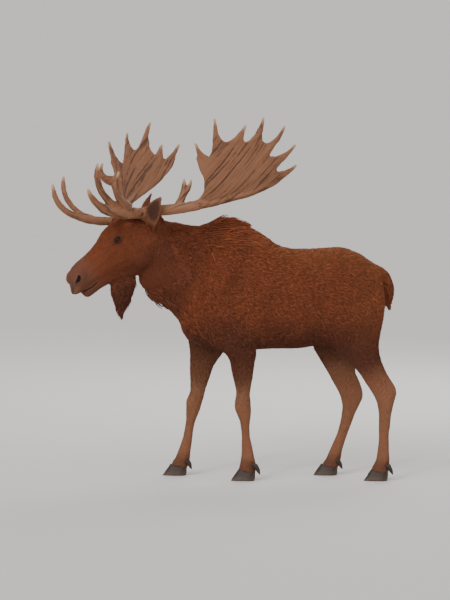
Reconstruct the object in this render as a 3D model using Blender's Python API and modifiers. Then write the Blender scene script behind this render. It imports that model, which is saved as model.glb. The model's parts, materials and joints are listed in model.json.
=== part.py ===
"""A life-size bull moose, standing still with its head turned a little to its left.

Metres, +Z up. The animal faces -X and its left side is towards -Y. The origin is on the floor, under the
middle of the bounding box. The flesh is modelled whole from lofts through named cross-sections, thinned to
facets and then parted into the trunk, neck, head and legs by thin cuts. Antlers, ears, eyes, bell, tail,
hooves and dewclaws are solids of their own, cut to sit against the flesh.
"""

import math
from dataclasses import dataclass, field

import bmesh
import bpy
from mathutils import Matrix, Vector

# Between two solids that meet.
GAP = 0.0004

# The skull's own frame: its origin is on the midline between the ears.
POLL = Vector((-0.544, -0.06, 1.875))
HEAD_TURN = math.radians(26)
HEAD_DROP = math.radians(33)
EYE_FORWARD, EYE_HEIGHT, EYE_OUT, EYE_RADIUS = 0.312, 0.080, 0.103, 0.0215

# Hooves and what stands on them.
HOOF_LENGTH, HOOF_SLOPE, CLAW_WIDTH, CLAW_GAP = 0.182, 0.056, 0.052, 0.010
CORONET_FRONT, CORONET_BACK = 0.086, 0.062
CLAW_SPLAY = math.radians(2.5)

# How fine the shapes are worked and how many triangles they keep.
FLESH_VOXEL, ANTLER_VOXEL = 0.011, 0.0068
HEAD_FACES, LEG_FACES, TRUNK_FACES, ANTLER_FACES = 4420, 3040, 2130, 1025

BROWN = {"coat": (0.15, 0.047, 0.022), "leg": (0.20, 0.105, 0.062), "antler": (0.21, 0.10, 0.045)}
HORN = {"hoof": (0.02, 0.016, 0.013), "eye": (0.012, 0.007, 0.005)}


@dataclass
class Ring:
    """One cross-section: a chord in the side view, from its upper or front end to the other, and a width."""

    start: tuple
    end: tuple
    half: float
    y: float = 0.0
    lean: float = 0.0  # how much narrower it is at the start than at the end

    def numbers(self):
        return [*self.start, *self.end, self.half, self.y, self.lean]


def level(height, front, back, half, y, lean=0.0):
    """A leg's cross-section, which lies level."""
    return Ring((front, height), (back, height), half, y, lean)


# ---- general tools ----------------------------------------------------------------------------------------


def clear_scene():
    for old in list(bpy.data.objects):
        bpy.data.objects.remove(old)


def material(name, colour, roughness):
    made = bpy.data.materials.new(name)
    made.use_nodes = True
    shader = made.node_tree.nodes["Principled BSDF"]
    shader.inputs["Base Color"].default_value = (*colour, 1)
    shader.inputs["Roughness"].default_value = roughness
    shader.inputs["Metallic"].default_value = 0.0
    return made


def show(name, mesh, finish, collection):
    """Makes a mesh the node of that name."""
    mesh.materials.clear()
    mesh.materials.append(finish)
    mesh.shade_smooth()
    mesh.set_sharp_from_angle(angle=math.radians(50))
    node = bpy.data.objects.new(name, mesh)
    collection.objects.link(node)
    return node


def mesh_of(bm, name="work"):
    mesh = bpy.data.meshes.new(name)
    bm.to_mesh(mesh)
    bm.free()
    return mesh


def face_outwards(bm):
    bmesh.ops.recalc_face_normals(bm, faces=bm.faces)
    if bm.calc_volume(signed=True) < 0:
        bmesh.ops.reverse_faces(bm, faces=bm.faces)


def through(rows, steps):
    """Rows of numbers joined by a smooth (Catmull-Rom) curve, with that many steps between two rows."""
    padded = [rows[0], *rows, rows[-1]]
    made = []
    for before, a, b, after in zip(padded, padded[1:], padded[2:], padded[3:]):
        for step in range(steps):
            t = step / steps
            weights = (
                (-t + 2 * t * t - t**3) / 2,
                (2 - 5 * t * t + 3 * t**3) / 2,
                (t + 4 * t * t - 3 * t**3) / 2,
                (t**3 - t * t) / 2,
            )
            made.append([sum(w * v for w, v in zip(weights, four)) for four in zip(before, a, b, after)])
    made.append(list(rows[-1]))
    return made


def bezier(a, b, c, d, t):
    return a * (1 - t) ** 3 + b * 3 * t * (1 - t) ** 2 + c * 3 * t * t * (1 - t) + d * t**3


def skin_over(bm, loops):
    """Joins loops of as many points each into one closed surface, with a flat face over each end."""
    rows = [[bm.verts.new(point) for point in loop] for loop in loops]
    for lower, upper in zip(rows, rows[1:]):
        for i in range(len(lower)):
            j = (i + 1) % len(lower)
            bm.faces.new((lower[i], lower[j], upper[j], upper[i]))
    for row in (rows[0], rows[-1]):
        bm.faces.new(row)
    bmesh.ops.triangulate(bm, faces=[face for face in bm.faces if len(face.verts) > 4])
    face_outwards(bm)


def loft(rings, sides=28, steps=4, square=0.9):
    """A closed body through the rings. Square is 1 for ellipses and less for fuller corners."""
    bm = bmesh.new()
    loops = []
    for x0, z0, x1, z1, half, y, lean in through([r.numbers() for r in rings], steps):
        loop = []
        for i in range(sides):
            turn = math.tau * i / sides
            along, across = math.cos(turn), math.sin(turn)
            along = math.copysign(abs(along) ** square, along)
            across = math.copysign(abs(across) ** square, across)
            width = half * (1 - lean * (1 + along) / 2)
            share = (1 - along) / 2
            loop.append((x0 + (x1 - x0) * share, y + width * across, z0 + (z1 - z0) * share))
        loops.append(loop)
    skin_over(bm, loops)
    return mesh_of(bm)


def ball(centre, radii, pitch=0.0, segments=24):
    """An ellipsoid, its top tipped towards the rear by the pitch."""
    bm = bmesh.new()
    bmesh.ops.create_uvsphere(bm, u_segments=segments, v_segments=segments // 2, radius=1.0)
    place = Matrix.Translation(centre) @ Matrix.Rotation(pitch, 4, "Y") @ Matrix.Diagonal((*radii, 1))
    bm.transform(place)
    return mesh_of(bm)


def tube(points, radii, sides=14, steps=5):
    """A round rod along a smooth curve through the points, with its radius at each of them."""
    curve = bpy.data.curves.new("rod", "CURVE")
    curve.dimensions = "3D"
    curve.bevel_depth = 1.0
    curve.bevel_resolution = sides // 4
    curve.use_fill_caps = True
    spline = curve.splines.new("POLY")
    rows = through([[*point, radius] for point, radius in zip(points, radii)], steps)
    spline.points.add(len(rows) - 1)
    for row, target in zip(rows, spline.points):
        target.co = (*row[:3], 1)
        target.radius = row[3]
    return solid_mesh(curve)


def solid_mesh(curve):
    """A curve's shape as a welded mesh."""
    rod = bpy.data.objects.new("rod", curve)
    bpy.context.scene.collection.objects.link(rod)
    mesh = bpy.data.meshes.new_from_object(rod.evaluated_get(bpy.context.evaluated_depsgraph_get()))
    bpy.data.objects.remove(rod)
    bm = bmesh.new()
    bm.from_mesh(mesh)
    bmesh.ops.remove_doubles(bm, verts=bm.verts, dist=1e-6)
    return mesh_of(bm)


def joined(meshes):
    bm = bmesh.new()
    for mesh in meshes:
        bm.from_mesh(mesh)
    return mesh_of(bm)


def worked(mesh, *steps):
    """The mesh after modifiers, each given as its type and its settings."""
    helper = bpy.data.objects.new("helper", mesh)
    bpy.context.scene.collection.objects.link(helper)
    for kind, settings in steps:
        modifier = helper.modifiers.new(kind.lower(), kind)
        for key, value in settings.items():
            setattr(modifier, key, value)
    made = bpy.data.meshes.new_from_object(helper.evaluated_get(bpy.context.evaluated_depsgraph_get()))
    bpy.data.objects.remove(helper)
    return made


def fused(meshes, voxel, smoothing):
    """Overlapping closed meshes as one smooth skin."""
    return worked(
        joined(meshes),
        ("REMESH", {"mode": "VOXEL", "voxel_size": voxel}),
        ("SMOOTH", {"factor": 0.5, "iterations": smoothing}),
    )


def thinned(mesh, faces):
    """The mesh in about that many triangles, most of them where it bends most."""
    now = sum(len(face.vertices) - 2 for face in mesh.polygons)
    return worked(mesh, ("DECIMATE", {"ratio": min(1.0, faces / now), "use_collapse_triangulate": True}))


def boolean(mesh, cutter, operation):
    tool = bpy.data.objects.new("tool", cutter)
    bpy.context.scene.collection.objects.link(tool)
    made = worked(mesh, ("BOOLEAN", {"operation": operation, "solver": "EXACT", "object": tool}))
    bpy.data.objects.remove(tool)
    return made


def largest(mesh):
    """Only the biggest connected piece: a cut can leave a crumb."""
    bm = bmesh.new()
    bm.from_mesh(mesh)
    bmesh.ops.triangulate(bm, faces=bm.faces)
    left, groups = set(bm.verts), []
    while left:
        front = [left.pop()]
        group = list(front)
        while front:
            for edge in front.pop().link_edges:
                for vertex in edge.verts:
                    if vertex in left:
                        left.remove(vertex)
                        front.append(vertex)
                        group.append(vertex)
        groups.append(group)
    groups.sort(key=len)
    bmesh.ops.delete(bm, geom=[v for group in groups[:-1] for v in group], context="VERTS")
    return mesh_of(bm)


@dataclass
class Block:
    """A block that a cut is made with: its middle, its sizes, its turns about Y and then Z, and how steeply
    its top and bottom are sheared to rise towards the rear."""

    centre: tuple
    size: tuple
    pitch: float = 0.0
    yaw: float = 0.0
    slope: float = 0.0

    def mesh(self, grown=0.0):
        bm = bmesh.new()
        bmesh.ops.create_cube(bm, size=1.0)
        sizes = [side + 2 * grown for side in self.size]
        turn = Matrix.Rotation(self.yaw, 4, "Z") @ Matrix.Rotation(self.pitch, 4, "Y")
        bm.transform(turn @ Matrix.Diagonal((*sizes, 1)))
        for vertex in bm.verts:
            vertex.co.z += math.tan(self.slope) * vertex.co.x
        bm.transform(Matrix.Translation(self.centre))
        return mesh_of(bm)


def below(x, height, slope, inner, side, ends):
    """A block under a plane through that point, rising to the rear, from one end to the other and on one
    side of the midline only."""
    deep, wide = 1.6, 0.6
    middle = (ends[0] + ends[1]) / 2
    top = height + math.tan(slope) * (middle - x)
    return Block(
        (middle, side * (inner + wide / 2), top - deep / 2), (ends[1] - ends[0], wide, deep), slope=slope
    )


def inside(mesh, block):
    return largest(boolean(mesh, block.mesh(), "INTERSECT"))


def outside(mesh, block):
    return largest(boolean(mesh, block.mesh(grown=GAP), "DIFFERENCE"))


def swollen(mesh, by=GAP):
    """A copy that stands that far outside the mesh."""
    bm = bmesh.new()
    bm.from_mesh(mesh)
    bm.normal_update()
    moves = [(v, v.normal * by * v.calc_shell_factor()) for v in bm.verts]
    for vertex, move in moves:
        vertex.co += move
    return mesh_of(bm)


def against(piece, neighbour):
    """The piece cut back to sit on its neighbour's surface."""
    return largest(boolean(piece, swollen(neighbour), "DIFFERENCE"))


# ---- the skull's frame --------------------------------------------------------------------------------------


def skull_frame():
    """From head lengths to the model: -X runs down the face to the nose, -Y to the animal's left, +Z out of
    the forehead."""
    return (
        Matrix.Translation(POLL)
        @ Matrix.Rotation(HEAD_TURN, 4, "Z")
        @ Matrix.Rotation(-HEAD_DROP, 4, "Y")
    )


def by_poll(forward, out, height, side):
    """A point beside the turned head: how far forward of the poll, out to that side, and above the floor."""
    place = Matrix.Translation((POLL.x, POLL.y, 0)) @ Matrix.Rotation(HEAD_TURN, 4, "Z")
    return place @ Vector((-forward, -out * side, height))


# ---- flesh ----------------------------------------------------------------------------------------------------


def trunk_and_neck():
    """From the throat to the rump, each ring from the back line to the belly line."""
    return loft(
        [
            Ring((-0.480, 1.925), (-0.632, 1.450), 0.118, -0.050),  # behind the jaw
            Ring((-0.350, 1.887), (-0.550, 1.334), 0.140, -0.032, 0.20),  # throat
            Ring((-0.205, 1.853), (-0.426, 1.247), 0.172, -0.012, 0.30),  # middle of the neck
            Ring((-0.103, 1.880), (-0.332, 1.150), 0.215, 0.0, 0.35),  # neck root
            Ring((-0.015, 1.927), (-0.266, 1.012), 0.245, 0.0, 0.50),  # point of the shoulder
            Ring((0.095, 1.893), (-0.075, 0.942), 0.280, 0.0, 0.52),  # hump and brisket
            Ring((0.205, 1.838), (0.110, 0.934), 0.314, 0.0, 0.42),  # behind the hump
            Ring((0.305, 1.774), (0.270, 0.946), 0.326, 0.0, 0.30),  # girth
            Ring((0.430, 1.696), (0.420, 0.952), 0.330, 0.0, 0.24),  # ribs
            Ring((0.590, 1.685), (0.570, 0.955), 0.332, 0.0, 0.20),  # barrel
            Ring((0.735, 1.692), (0.700, 0.985), 0.312, 0.0, 0.20),  # loin
            Ring((0.865, 1.698), (0.835, 1.040), 0.292, 0.0, 0.24),  # point of the hip
            Ring((0.962, 1.657), (0.935, 1.105), 0.262, 0.0, 0.30),  # croup
            Ring((1.050, 1.602), (1.025, 1.180), 0.220, 0.0, 0.30),  # back of the croup
            Ring((1.137, 1.558), (1.107, 1.270), 0.150, 0.0, 0.25),  # tail root
            Ring((1.181, 1.505), (1.155, 1.370), 0.070, 0.0, 0.20),  # rump end
        ]
    )


def muscles():
    """Shoulders, upper arms, haunches, stifles and buttocks, which stand out a little from the trunk."""
    for side in (-1, 1):
        yield ball((0.010, side * 0.078, 1.430), (0.250, 0.186, 0.430), pitch=math.radians(18))
        yield ball((0.010, side * 0.100, 1.130), (0.250, 0.165, 0.170), pitch=math.radians(18))
        yield ball((0.888, side * 0.060, 1.352), (0.270, 0.238, 0.320))
        yield ball((0.800, side * 0.100, 1.140), (0.165, 0.180, 0.170))
        yield ball((1.040, side * 0.070, 1.300), (0.138, 0.160, 0.250))


def skull_and_muzzle():
    """The head down to the mouth line, from its top line to its lower line, in head lengths."""
    rings = [
        Ring((0.100, 0.100), (0.060, -0.170), 0.100),  # inside the neck
        Ring((0.000, 0.138), (-0.010, -0.245), 0.120),  # poll
        Ring((-0.120, 0.160), (-0.110, -0.262), 0.128),  # between the antlers
        Ring((-0.235, 0.172), (-0.215, -0.255), 0.124),  # forehead
        Ring((-0.330, 0.164), (-0.310, -0.230), 0.114),  # brows
        Ring((-0.420, 0.126), (-0.410, -0.165), 0.092),  # below the eyes
        Ring((-0.520, 0.104), (-0.520, -0.122), 0.076),  # bridge of the nose
        Ring((-0.610, 0.097), (-0.615, -0.108), 0.072),
        Ring((-0.680, 0.083), (-0.680, -0.104), 0.080),  # muzzle
        Ring((-0.712, 0.052), (-0.727, -0.103), 0.082),  # nostrils
        Ring((-0.735, 0.006), (-0.770, -0.101), 0.073),  # upper lip
        Ring((-0.750, -0.034), (-0.788, -0.091), 0.050),
    ]
    return loft(rings, sides=24, square=0.86)


def lower_jaw():
    """From the angle of the jaw to the chin, in head lengths."""
    rings = [
        Ring((-0.060, -0.080), (-0.080, -0.225), 0.088),
        Ring((-0.180, -0.080), (-0.200, -0.262), 0.094),  # angle of the jaw
        Ring((-0.300, -0.080), (-0.315, -0.258), 0.082),
        Ring((-0.420, -0.080), (-0.420, -0.218), 0.062),
        Ring((-0.540, -0.075), (-0.540, -0.184), 0.047),
        Ring((-0.630, -0.080), (-0.630, -0.178), 0.043),
        Ring((-0.690, -0.095), (-0.688, -0.177), 0.046),  # lower lip
        Ring((-0.722, -0.112), (-0.714, -0.163), 0.034),
    ]
    return loft(rings, sides=20)


def face_forms():
    """Orbits, cheeks, nostril flares and the stumps that the antlers grow from."""
    for side in (-1, 1):
        yield ball((-EYE_FORWARD + 0.005, side * 0.082, EYE_HEIGHT), (0.055, 0.040, 0.042))
        yield ball((-0.190, side * 0.085, -0.130), (0.120, 0.045, 0.105))
        yield ball((-0.700, side * 0.062, 0.000), (0.056, 0.030, 0.056))
        yield ball((-0.165, side * 0.085, 0.125), (0.060, 0.050, 0.048))


def head_flesh():
    frame = skull_frame()
    parts = [skull_and_muzzle(), lower_jaw(), *face_forms()]
    for mesh in parts:
        mesh.transform(frame)
    return parts


@dataclass
class Leg:
    """One leg from the top down: rows of height, front edge, back edge and half width. The top rows lie
    inside the trunk and further from the midline than the rest by their own offsets."""

    name: str
    toe: float
    y: float
    rows: list
    spread: tuple
    top: Block  # everything of the leg lies in it
    parting: float  # the height where its upper and lower lengths meet

    @property
    def side(self):
        return math.copysign(1, self.y)

    @property
    def heel(self):
        return self.toe + HOOF_LENGTH

    def coronet(self):
        """The front and back end of the line where the coat meets the hoof."""
        return (self.toe + HOOF_SLOPE, CORONET_FRONT), (self.heel + 0.004, CORONET_BACK)

    def flesh(self):
        rings = []
        for i, (height, front, back, half) in enumerate(self.rows):
            shift = self.spread[i] if i < len(self.spread) else 0.0
            rings.append(level(height, front, back, half, self.y + self.side * shift))
        front, back = self.coronet()
        rings.append(Ring(front, back, 0.051, self.y))
        rings.append(Ring((front[0] - 0.012, 0.045), (back[0] + 0.002, 0.025), 0.052, self.y))
        return loft(rings, sides=20, square=0.95)


def legs():
    """The right fore and hind legs stand a step ahead of the left ones."""
    return [
        Leg(
            "left_foreleg", 0.045, -0.170,
            [
                (1.220, -0.130, 0.180, 0.040),
                (1.090, -0.160, 0.250, 0.080),
                (0.985, -0.085, 0.245, 0.078),  # elbow
                (0.915, 0.022, 0.234, 0.068),
                (0.755, 0.060, 0.214, 0.056),  # forearm
                (0.645, 0.080, 0.198, 0.050),
                (0.555, 0.073, 0.198, 0.055),  # knee
                (0.500, 0.083, 0.201, 0.050),
                (0.432, 0.112, 0.193, 0.037),
                (0.350, 0.122, 0.190, 0.034),  # cannon
                (0.272, 0.126, 0.205, 0.036),
                (0.190, 0.122, 0.222, 0.043),  # fetlock
                (0.125, 0.113, 0.233, 0.049),  # pastern
            ],
            (-0.040, 0.010, 0.015, 0.010),
            below(0.00, 1.010, math.radians(-19), 0.078, -1, ends=(-0.45, 0.33)),
            0.60,
        ),
        Leg(
            "right_foreleg", -0.455, 0.165,
            [
                (1.210, -0.230, 0.060, 0.040),
                (1.090, -0.266, 0.085, 0.080),
                (1.000, -0.264, 0.045, 0.078),  # elbow
                (0.905, -0.255, -0.002, 0.068),
                (0.812, -0.255, -0.070, 0.060),  # forearm
                (0.724, -0.256, -0.098, 0.054),
                (0.615, -0.256, -0.133, 0.051),
                (0.549, -0.281, -0.154, 0.055),  # knee
                (0.483, -0.283, -0.172, 0.048),
                (0.388, -0.285, -0.211, 0.036),  # cannon
                (0.279, -0.307, -0.228, 0.036),
                (0.175, -0.342, -0.242, 0.044),  # fetlock
                (0.118, -0.368, -0.250, 0.049),  # pastern
            ],
            (-0.040, 0.010, 0.015, 0.010),
            below(-0.17, 1.010, math.radians(-19), 0.078, 1, ends=(-0.50, 0.14)),
            0.60,
        ),
        Leg(
            "left_hindleg", 1.013, -0.175,
            [
                (1.420, 0.780, 1.080, 0.050),
                (1.300, 0.712, 1.168, 0.112),  # thigh
                (1.160, 0.710, 1.158, 0.118),
                (1.050, 0.745, 1.138, 0.108),  # stifle
                (0.980, 0.797, 1.130, 0.094),
                (0.900, 0.878, 1.143, 0.079),
                (0.812, 0.955, 1.182, 0.066),  # gaskin
                (0.738, 1.010, 1.222, 0.057),
                (0.660, 1.063, 1.262, 0.051),  # point of the hock
                (0.588, 1.103, 1.248, 0.047),
                (0.505, 1.121, 1.226, 0.041),
                (0.415, 1.123, 1.215, 0.037),  # cannon
                (0.320, 1.123, 1.206, 0.036),
                (0.228, 1.117, 1.207, 0.040),
                (0.150, 1.102, 1.210, 0.048),  # fetlock
            ],
            (-0.040, -0.010, 0.0, 0.005, 0.005),
            below(0.92, 1.095, math.radians(24), 0.002, -1, ends=(0.46, 1.40)),
            0.74,
        ),
        Leg(
            "right_hindleg", 0.652, 0.175,
            [
                (1.400, 0.744, 1.044, 0.050),
                (1.279, 0.668, 1.088, 0.112),  # thigh
                (1.150, 0.640, 1.076, 0.118),
                (1.050, 0.638, 1.058, 0.108),  # stifle
                (0.943, 0.652, 1.024, 0.094),
                (0.870, 0.688, 0.992, 0.080),
                (0.783, 0.738, 0.970, 0.067),  # gaskin
                (0.710, 0.782, 0.992, 0.058),
                (0.644, 0.820, 1.018, 0.051),  # point of the hock
                (0.580, 0.852, 1.026, 0.047),
                (0.505, 0.866, 0.991, 0.041),
                (0.418, 0.854, 0.954, 0.037),  # cannon
                (0.330, 0.834, 0.921, 0.036),
                (0.240, 0.798, 0.889, 0.039),
                (0.150, 0.758, 0.864, 0.047),  # fetlock
                (0.110, 0.740, 0.857, 0.050),  # pastern
            ],
            (-0.040, -0.010, 0.0, 0.005, 0.005),
            below(0.87, 1.075, math.radians(24), 0.002, 1, ends=(0.45, 1.25)),
            0.72,
        ),
    ]


# ---- ears, eyes, bell and tail ------------------------------------------------------------------------------


def ear(base, bend, tip, facing):
    """A leaf-shaped ear that curves from its root past the bend to its tip, hollow towards its facing side."""
    bm = bmesh.new()
    loops = []
    widths = (0.026, 0.038, 0.050, 0.056, 0.048, 0.027, 0.004)
    arc = [math.radians(a) for a in range(-90, 91, 45)]
    for step, width in enumerate(widths):
        along = step / (len(widths) - 1)
        axis = ((bend - base) * (1 - along) + (tip - bend) * along).normalized()
        inward = (facing - axis * facing.dot(axis)).normalized()
        across = axis.cross(inward)
        curl = 0.62 * (1 - along) + 0.12
        wall = 0.009 * (1 - 0.55 * along)
        centre = bezier(base, base.lerp(bend, 2 / 3), tip.lerp(bend, 2 / 3), tip, along)
        front = [centre + across * width * math.sin(a) + inward * width * curl * (1 - math.cos(a)) for a in arc]
        back = [
            centre
            + across * (width + wall) * math.sin(a)
            + inward * ((width + wall) * curl * (1 - math.cos(a)) - wall * 1.6)
            for a in reversed(arc)
        ]
        loops.append([*front, *back])
    skin_over(bm, loops)
    return mesh_of(bm)


def bell():
    """The flap of skin and hair that hangs from the throat, in the turned head's plane."""
    rings = [
        level(1.480, -0.320, -0.098, 0.060, 0.0),
        level(1.408, -0.318, -0.115, 0.057, 0.0),
        level(1.353, -0.306, -0.132, 0.050, 0.0),
        level(1.292, -0.286, -0.178, 0.038, 0.0),
        level(1.231, -0.252, -0.204, 0.022, 0.0),
        level(1.182, -0.230, -0.215, 0.007, 0.0),
    ]
    hanging = loft(rings, sides=12, steps=1)
    hanging.transform(Matrix.Translation((POLL.x, POLL.y, 0)) @ Matrix.Rotation(HEAD_TURN, 4, "Z"))
    return hanging


def tail():
    rings = [
        Ring((1.105, 1.495), (1.170, 1.545), 0.030),
        Ring((1.150, 1.450), (1.218, 1.487), 0.040),
        Ring((1.185, 1.395), (1.246, 1.406), 0.040),
        Ring((1.193, 1.340), (1.243, 1.340), 0.033),
        Ring((1.196, 1.285), (1.228, 1.285), 0.022),
        Ring((1.199, 1.236), (1.207, 1.236), 0.007),
    ]
    return loft(rings, sides=10, steps=1)


def eye(side):
    globe = ball((-EYE_FORWARD, -side * EYE_OUT, EYE_HEIGHT), (EYE_RADIUS,) * 3, segments=12)
    globe.transform(skull_frame())
    return globe


# ---- hooves -------------------------------------------------------------------------------------------------


def claw(leg, side):
    """One of a hoof's two claws: straight inside, pointed at the toe and flat on the floor."""
    front, back = leg.coronet()
    levels = (
        ((leg.toe, 0.0), (leg.heel - 0.006, 0.0), 1.0),
        ((leg.toe + 0.014, 0.020), (leg.heel, 0.018), 1.03),
        ((front[0] + 0.002, front[1] - GAP), (back[0] - 0.002, back[1]), 0.90),
    )
    points_a_side = 8
    bm = bmesh.new()
    loops = []
    for (x0, z0), (x1, z1), fullness in levels:
        outer, inner = [], []
        for i in range(points_a_side):
            t = i / (points_a_side - 1)
            bulge = (t**0.62) * math.sqrt(max(0.0, 1 - t**7)) if i else 0.0
            x, z = x0 + (x1 - x0) * t, z0 + (z1 - z0) * t
            outer.append(Vector((x, CLAW_GAP / 2 + CLAW_WIDTH * fullness * bulge, z)))
            inner.append(Vector((x, CLAW_GAP / 2 - 0.001 * math.sin(math.pi * t), z)))
        loops.append([*outer, *reversed(inner[1:-1])])
    skin_over(bm, loops)
    pivot = Vector((back[0], 0, 0))
    splay = Matrix.Translation(pivot) @ Matrix.Rotation(-CLAW_SPLAY, 4, "Z") @ Matrix.Translation(-pivot)
    bm.transform(Matrix.Translation((0, leg.y, 0)) @ Matrix.Diagonal((1, side, 1, 1)) @ splay)
    face_outwards(bm)
    return mesh_of(bm)


def dewclaw(leg, side):
    """A small pointed claw low on the back of the pastern."""
    y = leg.y + side * 0.027
    points = [
        (leg.heel - 0.030, y, 0.128),
        (leg.heel + 0.006, y + side * 0.004, 0.104),
        (leg.heel + 0.024, y + side * 0.008, 0.074),
        (leg.heel + 0.036, y + side * 0.010, 0.048),
    ]
    return thinned(tube(points, (0.017, 0.019, 0.014, 0.004), sides=4, steps=1), 36)


# ---- antlers ------------------------------------------------------------------------------------------------


@dataclass
class Palm:
    """The broad part of an antler, laid out flat: along from the beam's end towards the back, and up.

    Each tine is its tip, the bottom of the gap after it and how far its middle is swept towards the last
    tine. The inner edge climbs from the beam to the first tine, and the spine runs from the last tine back to
    the beam.
    """

    origin: tuple  # forward, out and height of the beam's end
    diverge: float  # how far it swings out towards the back
    lean: float  # how far it leans out towards the top
    inner: list
    tines: list
    spine: list
    cup: float = 0.07
    thick: float = 0.021
    core: float = 0.028

    def spans(self):
        """Each tine's tip and sweep with the gaps on its two sides."""
        gaps = [self.inner[-1], *[gap for _, gap, _ in self.tines]]
        for (tip, _, sweep), before, after in zip(self.tines, gaps, gaps[1:]):
            yield Vector(tip), sweep, Vector(before), Vector(after)

    def outline(self):
        """The edge as a closed list of flat points, with each tine's two flanks hollowed."""
        edge = [Vector(p) for p in through([list(p) for p in self.inner], 5)[:-1]]
        for tip, sweep, before, after in self.spans():
            root = (before + after) / 2
            axis = (tip - root).normalized()
            across = Vector((axis.y, -axis.x))
            for start, climbing in ((before, True), (after, False)):
                rim = root - start
                rim -= axis * rim.dot(axis)
                inward = start + rim * 0.5
                edgeward = rim.normalized()
                narrow = tip.lerp(root, 0.5) - edgeward * 0.015 + across * sweep
                flank = [bezier(start, inward, narrow, tip - edgeward * 0.007, i / 7) for i in range(8)]
                edge += flank if climbing else flank[::-1][:-1]
        edge += [Vector(p) for p in through([list(p) for p in self.spine], 5)]
        return edge

    def place(self, point, side):
        """A flat point with its height off the palm's face, in the model."""
        along, up, off = point
        bow = self.cup * (((along - 0.28) / 0.42) ** 2 + ((up - 0.30) / 0.45) ** 2)
        off -= bow - self.cup * 0.5
        swing = Vector((-math.cos(self.diverge), math.sin(self.diverge), 0))
        out = Vector((math.sin(self.diverge), math.cos(self.diverge), 0))
        rise = Vector((0, 0, math.cos(self.lean))) + out * math.sin(self.lean)
        face = out * math.cos(self.lean) - Vector((0, 0, math.sin(self.lean)))
        forward, sideways, height = Vector(self.origin) + swing * along + rise * up + face * off
        return by_poll(forward, sideways, height, side)

    def blade(self, side):
        """The flat of the palm: the outline cut into small cells, thickened and bent to its cup."""
        bm = bmesh.new()
        bm.faces.new([bm.verts.new((p.x, p.y, 0)) for p in self.outline()])
        for axis in (0, 1):
            normal = Vector((1, 0, 0)) if axis == 0 else Vector((0, 1, 0))
            for step in range(-8, 36):
                everything = [*bm.verts, *bm.edges, *bm.faces]
                bmesh.ops.bisect_plane(bm, geom=everything, plane_co=normal * step * 0.025, plane_no=normal)
        bmesh.ops.triangulate(bm, faces=bm.faces)
        mesh = worked(mesh_of(bm), ("SOLIDIFY", {"thickness": self.thick, "offset": 0.0}))
        for vertex in mesh.vertices:
            vertex.co = self.place(vertex.co, side)
        bm = bmesh.new()
        bm.from_mesh(mesh)
        face_outwards(bm)
        return mesh_of(bm)

    def ribs(self, side):
        """A rounded core in each tine, and the beam's swelling along the spine."""
        for tip, sweep, before, after in self.spans():
            root = (before + after) / 2
            across = Vector(((tip - root).y, (root - tip).x)).normalized()
            bend = root.lerp(tip, 0.5) + across * sweep * 0.75
            flat = [root + (root - tip) * 0.3, root, bend, root.lerp(tip, 0.97)]
            yield tube([self.place((*p, 0), side) for p in flat], (0.010, 0.0165, 0.012, 0.005))
        core = [Vector(p) + Vector((-0.012, self.core)) for p in self.spine[::-1]]
        radii = [self.core * (1.15 - 0.75 * i / (len(core) - 1)) for i in range(len(core))]
        yield tube([self.place((*p, 0), side) for p in core], radii)


@dataclass
class Antler:
    """One antler: rods as (forward, out, height, radius) rows, its palm and the cuts at its forks."""

    side: int
    beam: list
    brow: list
    palm: Palm
    twigs: list = field(default_factory=list)
    brow_cut: tuple = ()
    palm_cut: tuple = ()

    def rods(self, rows):
        for row in rows:
            points = [by_poll(*p[:3], self.side) for p in row]
            yield tube(points, [p[3] for p in row])

    def whole(self):
        rods = self.rods([self.beam, *self.brow, *self.twigs])
        return fused([*rods, self.palm.blade(self.side), *self.palm.ribs(self.side)], ANTLER_VOXEL, 2)

    def cutting_block(self, cut):
        """A big block whose near face is the cut, given by a point beside the head and the heading, in degrees
        from straight forward towards the outside, in which the block lies."""
        forward, out, height, heading = cut
        reach = 1.6
        yaw = HEAD_TURN + self.side * math.radians(heading)
        away = Matrix.Rotation(yaw, 3, "Z") @ Vector((-reach / 2, 0, 0))
        return Block(by_poll(forward, out, height, self.side) + away, (reach,) * 3, yaw=yaw)


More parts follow.
